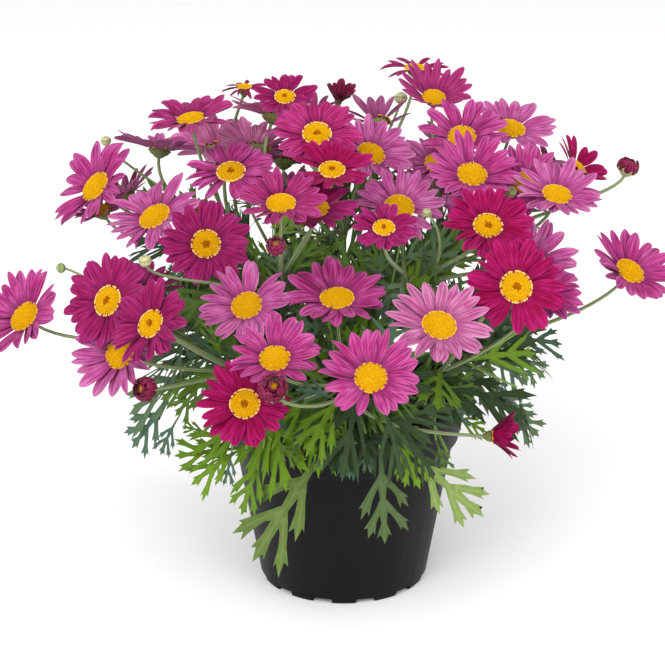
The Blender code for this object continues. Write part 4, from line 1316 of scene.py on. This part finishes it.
# Each tint: the petal's face; a darker colour, which is painted shade in its grooves and its own colour at
# its root and in its streaks; its paler edge and tip
PETAL_TINTS = {
    # pale_mauve is painted light: a paler copy for heads seen from behind, offsetting the shade on their
    # backs
    "pale_mauve": ("#C8689C", "#8E3268", "#DC98BE"),
    "rose_mauve": ("#A2507F", "#762256", "#C688AE"),
    "light_mauve": ("#A3427F", "#6E1E4E", "#C079A6"),
    "mauve_pink": ("#9A2B6A", "#5E1040", "#B85C98"),
    "magenta": ("#8C2159", "#560A32", "#AC4480"),
    "bright_magenta": ("#901652", "#5E0A32", "#AC4080"),
    "deep_magenta": ("#7F0F48", "#560830", "#9C2E70"),
    "crimson": ("#80003A", "#5E0028", "#A41C66"),
    "dark_red": ("#5A0A28", "#2C0210", "#98345C"),
}


def lay_petal(sheaf, flower, angle, t, w, out, across, height, sag, chance):
    """Adds a petal on a grid of t, along it, and w, across it: how far out, across, high and sunk it is."""
    level = np.ones_like(t * w)
    ray, normal = np.array(flower.ray(angle)), np.array(flower.normal)
    points = np.array(flower.place) + ray * (out * level)[..., None]
    points = points + np.cross(normal, ray) * (across * level)[..., None]
    points = points + normal * (height * level)[..., None]
    points = points - np.array(UPWARD) * (sag * level)[..., None]
    v = (chance.randrange(BANDS) + 0.04 + 0.92 * (w * level + 1) / 2) / BANDS
    marks = np.stack([t * level, v], axis=-1).reshape(-1, 2)
    sheaf.add(points.reshape(-1, 3), marks, grid_faces(*level.shape))


def petal_widths(t, ray):
    """Half width along a petal as a share of its widest half: a narrow foot, a long strap and its tip."""
    full = np.sin(np.clip(t / PETAL_FULLEST, 0, 1) * math.pi / 2)
    tip = np.clip((t - 1 + ray["tip"]) / ray["tip"], 0, 1)
    end = (1 - tip**2 * (1 - ray["blunt"] ** 2)) ** ray["point"]
    return (PETAL_FOOT_WIDTH + (1 - PETAL_FOOT_WIDTH) * full) * end


def add_petal(sheaf, flower, angle, start, length, width, shape, chance):
    """Adds one petal. start is how far from the disc's middle it leaves the head, with its height there."""
    shaft = np.linspace(0.0, 1.0 - shape["tip"], PETAL_SHAFT_ROWS)
    turns = np.linspace(0.0, math.pi / 2, PETAL_TIP_ROWS + 1)
    round_end = 1.0 - shape["tip"] + shape["tip"] * np.sin(turns)
    t = np.concatenate([shaft, round_end[1:]])[:, None]
    w = np.linspace(-1.0, 1.0, PETAL_COLUMNS)[None, :]
    notch = shape["notch"] * (1 - np.cos(3 * math.pi * w)) / 2
    out = start[0] + length * (t - notch * np.clip((t - 0.8) / 0.2, 0, 1) ** 2)
    across = width / 2 * petal_widths(t, shape) * w
    groove = PETAL_GROOVE * np.cos(3 * math.pi * w) * np.sin(math.pi * np.clip(t, 0.05, 0.97))
    channel = shape["channel"] * w**2 * width * (1 - t)
    rolled = math.radians(shape["roll"])
    height = start[1] + length * (shape["rise"] * t - shape["droop"] * t**2) + groove + channel
    fold = math.radians(shape["fold"]) * (0.3 + 0.7 * t)
    height = height + across * (math.sin(rolled) + shape["twist"] * t) + np.abs(across) * np.sin(fold)
    across = across * math.cos(rolled) * np.cos(fold) + length * shape["bend"] * t**2
    lay_petal(sheaf, flower, angle, t, w, out, across, height, shape["sag"] * length * t**2, chance)


def add_open_petals(sheaf, flower, chance):
    """Rings a head with petals. A few are lost, and those on the low side stand up a little more."""
    ray = RAYS[flower.stage]
    count = round(ray.count * (1.0 if flower.radius > SMALL_HEAD else SMALL_HEAD_SHARE))
    start_radius = flower.radius * DISC_SHARE * PETAL_START
    first = chance.uniform(0.0, math.tau)
    lean = chance.uniform(-0.08, 0.10)
    for number in range(count):
        angle = first + math.tau * (number + chance.uniform(-ray.stray, ray.stray)) / count
        low = max(0.0, -flower.ray(angle).z) / max(0.35, math.sqrt(1 - flower.normal.z**2))
        length = (flower.radius - start_radius) * chance.uniform(0.88, 1.06)
        length *= 1 - LOW_PETAL_SHORTENING * low
        width = ray.width * flower.radius / FULL_HEAD * chance.uniform(0.78, 1.12)
        shape = {
            "rise": ray.rise + lean + LOW_PETAL_RISE * low + chance.uniform(-0.10, 0.10),
            "droop": ray.droop + chance.uniform(-0.13, 0.13),
            "sag": ray.sag * chance.uniform(0.5, 1.5),
            "roll": ray.roll + chance.uniform(-10.0, 10.0),
            "twist": chance.uniform(-0.4, 0.4),
            "bend": chance.uniform(-0.08, 0.08),
            "channel": chance.uniform(0.02, 0.18),
            "tip": ray.tip * chance.uniform(0.85, 1.15),
            "blunt": ray.blunt * chance.uniform(0.7, 1.3),
            "notch": ray.notch * chance.uniform(0.3, 1.7),
            "point": ray.point * chance.uniform(0.8, 1.25),
            "fold": chance.uniform(*PETAL_FOLD) if chance.random() < FOLDED_PETALS else 0.0,
        }
        start = (start_radius, -PETAL_SUNK + PETAL_LAYER * (number % 2))
        if chance.random() > LOST_PETALS:
            add_petal(sheaf, flower, angle, start, length, width, shape, chance)


def strap_petal(add, face, groove, tip):
    """A living petal: velvety and soft, with painted shade in its two deep grooves, fine long streaks, a
    darker root and a paler edge and tip.
    """
    flat = add("TexCoord", result="UV")
    along = add("SeparateXYZ", {"Vector": flat}, "X")
    band, inward = read_bands(add, flat, 0.25)
    # Painted shade along the two grooves: the petal darkens there towards its groove colour
    off_groove = add("Math", {0: inward, 1: (1 - GROOVE_PLACE) / 2}, operation="SUBTRACT")
    groove_gap = add("Math", {0: off_groove}, operation="ABSOLUTE")
    beside = {"Value": groove_gap, "From Max": 0.055, "To Min": 0.80, "To Max": 0.0}
    groove_shade = add("MapRange", beside, **SMOOTH)
    edge = add("MapRange", {"Value": inward, "From Max": 0.11, "To Min": 0.85, "To Max": 0.0}, **SMOOTH)
    # Streaks a millimetre wide that run half the petal
    drawn = add("Mapping", {"Vector": flat, "Scale": (1.8, 32.0, 1.0)})
    streaks = add("TexNoise", {"Vector": drawn, "Scale": 1.0, "Detail": 2.0}, noise_dimensions="2D")
    high = {"Value": streaks, "From Min": 0.48, "From Max": 0.70, "To Max": 0.66}
    streaked = add("MapRange", high, **SMOOTH)
    low = {"Value": streaks, "From Min": 0.47, "From Max": 0.30, "To Max": 0.45}
    blanched = add("MapRange", low, **SMOOTH)
    at_root = {"Value": along, "From Min": 0.05, "From Max": 0.4, "To Min": 0.6, "To Max": 0.0}
    root = add("MapRange", at_root, **SMOOTH)
    fade = add("MapRange", {"Value": along, "From Min": 0.5, "From Max": 1.0, "To Max": 0.5}, **SMOOTH)
    faded = add("Math", {0: fade, 1: edge}, operation="MAXIMUM")
    pale = add("Math", {0: faded, 1: blanched}, operation="MAXIMUM")
    # Cloudy patches of 12 mm, where the colour has faded
    cloud = add("TexNoise", {"Vector": add("TexCoord", result="Object"), "Scale": 1 / 0.012, "Detail": 1.0})
    patchy = {"Value": cloud, "From Min": 0.35, "From Max": 0.70, "To Min": -0.16, "To Max": 0.24}
    clouded = add("MapRange", patchy)
    varied = add("Math", {0: pale, 1: band}, operation="ADD")
    light = add("Math", {0: varied, 1: clouded}, operation="ADD", use_clamp=True)
    lined = add("Math", {0: groove_shade, 1: streaked}, operation="MAXIMUM")
    dark = add("Math", {0: lined, 1: root}, operation="MAXIMUM")
    paled = add("Mix", {FACTOR: light, FIRST: colour(face), SECOND: colour(tip)}, BLEND, data_type="RGBA")
    tone = add("Mix", {FACTOR: dark, FIRST: paled, SECOND: colour(groove)}, BLEND, data_type="RGBA")
    raised = add("Math", {0: streaks, 1: groove_shade}, operation="SUBTRACT")
    relief = add("Bump", {"Height": raised, "Distance": 0.00012, "Strength": 0.5})
    surface = {"Base Color": tone, "Roughness": 0.6, "IOR": 1.4, "Sheen Weight": 0.03, "Normal": relief}
    return surface | {"Specular IOR Level": 0.08}


petals = {tint: Sheaf("petals_" + tint) for tint in PETAL_TINTS}
for flower in flowers:
    if flower.stage in RAYS:
        add_open_petals(petals[flower.tint], flower, chance)


# Discs
# The golden eye of each head is a low dome of tiny tubular florets, packed in spirals. The outer ones are
# open and paler. In a young head the inner ones are still shut, and its heart is orange brown.
FLORET_COUNT = 300
FLORET_SIDES = 5
FULL_DISC = 0.0072
DISC_RISE = 0.30
YOUNG_DISC_RISE = 0.20
DISC_ROUNDING = 2.4
DIMPLE_DEPTH = 0.35
DIMPLE_REACH = 0.4
DOME_RINGS = 7
DOME_SIDES = 24
OPEN_FROM = 0.90
RIM_FLORETS = 66
RIM_STEP = 0.026
RIM_SIZE = 0.051
RIM_RISE = 0.02
RIM_HEIGHT = 0.06
HEART_REACH = (0.19, 0.31)

# A floret's rings, with the width, height and painted shade of each as shares of the whole, and its cap's
# height and painted shade: open, with a flared lip and a sunk throat, or shut, with a pointed cap. The
# painted shade is dark at the foot between florets and in an open floret's throat, and lit at the lip and at
# a shut floret's point.
OPEN_FLORET = (((1.0, 0.0, 0.35), (1.05, 1.0, 0.95)), (0.4, 0.2))
SHUT_FLORET = (((1.0, 0.0, 0.2),), (1.0, 0.95))
# Each pair: the painted shade at a floret's foot and in its throat, then the lit colour of its lip and cap
DISC_TINTS = {
    "gold": ("#A46804", "#DAAD12"),
    "rim": ("#C68C14", "#E8B83E"),
    "young_rim": ("#D2A430", "#F4D07A"),
    "heart": ("#6A2602", "#A04C08"),
}


def disc_height(flower, out):
    """The dome's height at a share of the way out, as a share of its radius. A young one is dimpled."""
    if flower.stage == "young":
        dimple = DIMPLE_DEPTH * max(0.0, 1 - out / DIMPLE_REACH)
        return YOUNG_DISC_RISE * (1 - out**DISC_ROUNDING - dimple)
    return DISC_RISE * (1 - out**DISC_ROUNDING)


def dome_point(flower, ray, out, radius, rise=0.0):
    """The point of the disc's dome at a share of the way out, or above it."""
    return flower.place + (ray * out + flower.normal * (disc_height(flower, out) + rise)) * radius


def add_dome(sheaf, flower, radius):
    """Adds the floor that the florets stand on."""

    def place(ring, angle):
        return dome_point(flower, flower.ray(angle), (ring + 0.02) / (DOME_RINGS - 0.98), radius)

    points = ring_points(DOME_RINGS, DOME_SIDES, place)
    # The dome's floor between the florets takes half of the painted shade
    sheaf.add(points, [(0.5, 0.5)] * len(points), grid_faces(DOME_RINGS, DOME_SIDES, closed=True))


def add_floret(sheaf, place, up, size, height, is_open, chance):
    """Adds one tube floret: shut, with a pointed cap, or open, with a flared lip and a sunk throat. Its flat
    map carries painted shade, darkest at its foot and in its throat.
    """
    across = up.orthogonal().normalized()
    other = up.cross(across)
    turn = chance.uniform(0.0, math.tau)
    rings, (cap_rise, cap_shade) = OPEN_FLORET if is_open else SHUT_FLORET
    points, painted_shading = [], []
    for wide, rise, shade in rings:
        for side in range(FLORET_SIDES):
            ray = turned(across, other, turn + math.tau * side / FLORET_SIDES)
            points.append(tuple(place + ray * size * wide + up * height * rise))
            painted_shading.append((shade, 0.5))
    last = len(points)
    points.append(tuple(place + up * height * cap_rise))
    painted_shading.append((cap_shade, 0.5))
    faces = grid_faces(len(rings), FLORET_SIDES, closed=True)
    sheaf.add(points, painted_shading, faces + fan_faces(last, last - FLORET_SIDES, FLORET_SIDES))


def add_disc(discs, flower, chance):
    radius = flower.radius * DISC_SHARE
    count = int(FLORET_COUNT * min(1.0, (radius / FULL_DISC) ** 2))
    size = radius / math.sqrt(count)
    add_dome(discs["gold"], flower, radius)
    for number in range(count):
        out = OPEN_FROM * math.sqrt((number + 0.5) / count)
        ray = flower.ray(GOLDEN_ANGLE * number)
        place = dome_point(flower, ray, out, radius)
        up = (flower.normal + ray * 0.45 * out).normalized()
        kind = "heart" if flower.stage == "young" and out < chance.uniform(*HEART_REACH) else "gold"
        add_floret(discs[kind], place, up, size, size * chance.uniform(0.7, 1.3), False, chance)
    for number in range(RIM_FLORETS):
        out = OPEN_FROM + RIM_STEP * (1 + number % 2)
        ray = flower.ray(math.tau * number / RIM_FLORETS)
        place = dome_point(flower, ray, out, radius, RIM_RISE)
        up = (flower.normal + ray * 0.6).normalized()
        height = radius * RIM_HEIGHT * chance.uniform(0.9, 1.1)
        rim = discs["young_rim" if flower.stage == "young" else "rim"]
        add_floret(rim, place, up, radius * RIM_SIZE, height, True, chance)


def tube_florets(add, throat, lip):
    """Tube florets: waxy golden tissue, dusted with pollen, with painted shade between them and in their
    throats.
    """
    place = add("TexCoord", result="Object")
    along = add("SeparateXYZ", {"Vector": add("TexCoord", result="UV")}, "X")
    # Pollen in specks of 0.4 mm
    pollen = add("TexNoise", {"Vector": place, "Scale": 1 / 0.0008, "Detail": 2.0})
    dusted = add("MapRange", {"Value": pollen, "From Min": 0.45, "From Max": 0.7, "To Max": 0.4}, **SMOOTH)
    # The map's first share is painted shade, from the throat colour up to the lip colour; pollen specks
    # lighten it
    painted_light_and_pollen = add("Math", {0: along, 1: dusted}, operation="ADD", use_clamp=True)
    tone = add("Mix", {FACTOR: painted_light_and_pollen, FIRST: colour(throat), SECOND: colour(lip)}, BLEND, data_type="RGBA")
    relief = add("Bump", {"Height": pollen, "Distance": 0.0001, "Strength": 0.4})
    return {"Base Color": tone, "Roughness": 0.7, "IOR": 1.42, "Specular IOR Level": 0.03, "Normal": relief}


discs = {kind: Sheaf("florets_" + kind) for kind in DISC_TINTS}
for flower in flowers:
    if flower.stage in RAYS:
        add_disc(discs, flower, chance)


# Calyxes, buds and half-open heads
# Under each head sits a green cup of scales in three rows, edged with a thin brown skin. In a bud the
# scales still close over the petals, and in a half-open head the petals curl in over the disc in a ball.
CUP_SIDES = 14
CUP_RADIUS = 0.0058
CUP_HEAD = 0.024
CUP_DEPTH = 0.0052
CUP_TOP = -0.0004
CUP_ROWS = 7
SCALE_ROWS = 3
SCALE_RELIEF = 0.06
SCALE_POINT = 0.0005
BUD_ROWS = 9
BUD_RELIEF = 0.07
BUD_SHARE = 0.68
BUD_LENGTH = 0.92
BALL_COLUMNS = 5
BALL_ROWS = 9
BALL_FLORETS = 24
BALL_FLORET_REACH = 0.26
BALL_FLORET_RISE = 0.45
BALL_FLORET_SIZE = (0.06, 0.10)

# The rings of curled petals in a half-open head: their count, and as shares of its radius how far out they
# bulge and how high their ring's middle is, then the angles from straight down at which they start and end
Ring = namedtuple("Ring", "count bulge rise first last")
BALL_RINGS = (
    Ring(9, 0.92, 0.00, 70.0, 134.0),
    Ring(7, 0.68, 0.16, 72.0, 138.0),
    Ring(6, 0.42, 0.32, 78.0, 146.0),
)


def add_scaled(sheaf, rows, place, ends):
    """Adds a round of scales. place gives the point at a row and angle, and ends the one that shuts it."""
    sides = CUP_SIDES * 2
    points = ring_points(rows, sides, place)
    marks = [(row / (rows - 1), side / sides) for row in range(rows) for side in range(sides)]
    faces = grid_faces(rows, sides, closed=True)
    if ends:
        faces += fan_faces(len(points), 0, sides, flipped=True)
        marks.append((0.0, 0.5))
    sheaf.add(points + ends, marks, faces)


def add_cup(sheaf, flower, radius, depth, top):
    """Adds a cup of overlapping scales, from the stalk's end up to the head."""

    def place(row, angle):
        share = row / (CUP_ROWS - 1)
        wall = radius * math.sin(math.pi / 2 * (0.12 + 0.88 * share))
        scale = 1 + SCALE_RELIEF * math.cos(CUP_SIDES * angle + math.pi * row)
        level = top - depth * (1 - share) + SCALE_POINT * math.cos(CUP_SIDES * angle) * share
        return flower.place + flower.ray(angle) * wall * scale + flower.normal * level

    add_scaled(sheaf, CUP_ROWS, place, [flower.place + flower.normal * (top - depth)])


def add_bud(sheaf, flower, radius):
    """Adds a round bud wrapped in pointed scales."""

    def place(row, angle):
        lift = math.pi * (row / (BUD_ROWS - 1) - 0.5)
        wave = math.cos(CUP_SIDES / 2 * angle + math.pi * (row % 2)) * math.cos(lift)
        scale = 1 + BUD_RELIEF * wave
        ray = flower.ray(angle) * math.cos(lift) * radius * scale
        return flower.place + ray + flower.normal * math.sin(lift) * radius * BUD_LENGTH

    add_scaled(sheaf, BUD_ROWS, place, [])


def add_curled_petal(sheaf, flower, angle, ring, chance):
    """Adds a petal that bulges out and curls in over the disc, rounded across like a fingertip."""
    t = np.linspace(0.0, 1.0, BALL_ROWS)[:, None]
    w = np.linspace(-1.0, 1.0, BALL_COLUMNS)[None, :]
    last = ring.last * chance.uniform(0.88, 1.08)
    around = np.radians(ring.first + (last - ring.first) * t)
    bulge = flower.radius * ring.bulge * chance.uniform(0.92, 1.06)
    half = math.pi * bulge / ring.count * 0.98
    width = half * np.sqrt(np.clip(1 - (1.9 * t - 0.9) ** 4, 0.05, 1)) * w
    wall = bulge + half * 0.30 * (1 - w**2)
    height = flower.radius * ring.rise - wall * np.cos(around)
    lay_petal(sheaf, flower, angle, t, w, wall * np.sin(around), width, height, 0.0, chance)


def add_half_open(petal_sheaf, disc_sheaf, flower, chance):
    """Adds the rings of curled petals, and the few florets that show between their tips."""
    for ring in BALL_RINGS:
        first = chance.uniform(0.0, math.tau)
        for number in range(ring.count):
            add_curled_petal(petal_sheaf, flower, first + math.tau * number / ring.count, ring, chance)
    for number in range(BALL_FLORETS):
        out = math.sqrt((number + 0.5) / BALL_FLORETS) * BALL_FLORET_REACH
        ray = flower.ray(GOLDEN_ANGLE * number) * out
        place = flower.place + (ray + flower.normal * BALL_FLORET_RISE) * flower.radius
        size, height = (flower.radius * share for share in BALL_FLORET_SIZE)
        add_floret(disc_sheaf, place, flower.normal, size, height, False, chance)


def scaled_green(add, scale, edge):
    """Calyx scales: leathery green, lapped like tiles, with a thin brown skin along their edges."""
    flat = add("TexCoord", result="UV")
    along = add("SeparateXYZ", {"Vector": flat}, "X")
    around = add("SeparateXYZ", {"Vector": flat}, "Y")
    rows = add("Math", {0: add("Math", {0: along, 1: SCALE_ROWS}, operation="MULTIPLY")}, operation="FRACT")
    phase = add("Math", {0: around, 1: math.tau * CUP_SIDES}, operation="MULTIPLY")
    wave = add("Math", {0: phase}, operation="COSINE")
    lap = add("Math", {0: wave, 1: 0.15, 2: rows}, operation="MULTIPLY_ADD")
    skin = add("MapRange", {"Value": lap, "From Min": 0.62, "From Max": 0.95, "To Max": 0.85}, **SMOOTH)
    tone = add("Mix", {FACTOR: skin, FIRST: colour(scale), SECOND: colour(edge)}, BLEND, data_type="RGBA")
    relief = add("Bump", {"Height": lap, "Distance": 0.0004, "Strength": 0.7})
    surface = {"Base Color": tone, "Roughness": 0.6, "IOR": 1.42, "Sheen Weight": 0.1, "Normal": relief}
    return surface | {"Specular IOR Level": 0.3}


cups = Sheaf("calyx_cups")
buds = {tint: Sheaf("buds_" + tint) for tint in ("pale", "green")}
for flower in flowers:
    if flower.stage in RAYS:
        add_cup(cups, flower, CUP_RADIUS * flower.radius / CUP_HEAD, CUP_DEPTH, CUP_TOP)
    elif flower.stage == "half":
        add_cup(buds["pale"], flower, flower.radius * 0.98, flower.radius * 0.96, flower.radius * 0.06)
        add_half_open(petals[flower.tint], discs["gold"], flower, chance)
    else:
        add_bud(buds[flower.tint], flower, flower.radius * BUD_SHARE)

for tint, sheaf in petals.items():
    velvet = new_material(f"{tint}_velvet_petal", strap_petal, *PETAL_TINTS[tint])
    dress(sheaf.bind(), "blossom", velvet, *mass_names)
for kind, sheaf in discs.items():
    florets = new_material(f"{kind}_tube_florets", tube_florets, *DISC_TINTS[kind])
    dress(sheaf.bind(smooth=False), "blossom", florets, *mass_names)
for sheaf, name, *codes in (
    (cups, "lapped_green_scales", "#64743E", "#8A6C38"),
    (buds["pale"], "lapped_pale_scales", "#ADAC7E", "#74603A"),
    (buds["green"], "lapped_bud_scales", "#84965E", "#5E5C38"),
):
    dress(sheaf.bind(), "foliage", new_material(name, scaled_green, *codes), *mass_names)


# Floor and light
# A plain pale floor, with soft light from a wide panel overhead in front, a weaker one from the other
# side, and an even pale surround.
FLOOR_SIZE = 12.0
SURROUND_STRENGTH = 0.90

# A panel of light: its name and place, its width in metres and its power in watts
PANELS = (
    ("key_panel", (-0.8, -2.0, 1.5), 1.8, 58.0),
    ("fill_panel", (1.5, -1.3, 1.0), 1.4, 16.0),
)


def matt_paint(add):
    """Matt white paint, rolled on: an even pale surface with the faintest mottle."""
    # The roller's stipple is 2 mm
    place = add("TexCoord", result="Object")
    stipple = add("TexNoise", {"Vector": place, "Scale": 1 / 0.002, "Detail": 2.0})
    mix = {FACTOR: stipple, FIRST: colour("#F7F7F8"), SECOND: colour("#FDFDFD")}
    tone = add("Mix", mix, BLEND, data_type="RGBA")
    return {"Base Color": tone, "Roughness": 0.9, "IOR": 1.45, "Specular IOR Level": 0.1}


half = FLOOR_SIZE / 2
corners = [(-half, -half, 0.0), (half, -half, 0.0), (half, half, 0.0), (-half, half, 0.0)]
floor = new_piece("studio_floor", corners, [(0, 1, 2, 3)], smooth=False)
floor.data.materials.append(new_material("rolled_matt_white_paint", matt_paint))

for name, place, size, power in PANELS:
    panel = bpy.data.lights.new(name, "AREA")
    panel.shape = "SQUARE"
    panel.size = size
    panel.energy = power
    lamp = bpy.data.objects.new(name, panel)
    lamp.location = place
    lamp.rotation_euler = (VIEW_AIM - Vector(place)).to_track_quat("-Z", "Y").to_euler()
    bpy.context.scene.collection.objects.link(lamp)

surround = bpy.data.worlds.new("pale_surround")
surround.use_nodes = True
backdrop = surround.node_tree.nodes["Background"]
backdrop.inputs["Color"].default_value = colour("#FFFFFF")
backdrop.inputs["Strength"].default_value = SURROUND_STRENGTH
bpy.context.scene.world = surround
bpy.context.scene.view_settings.view_transform = "Standard"
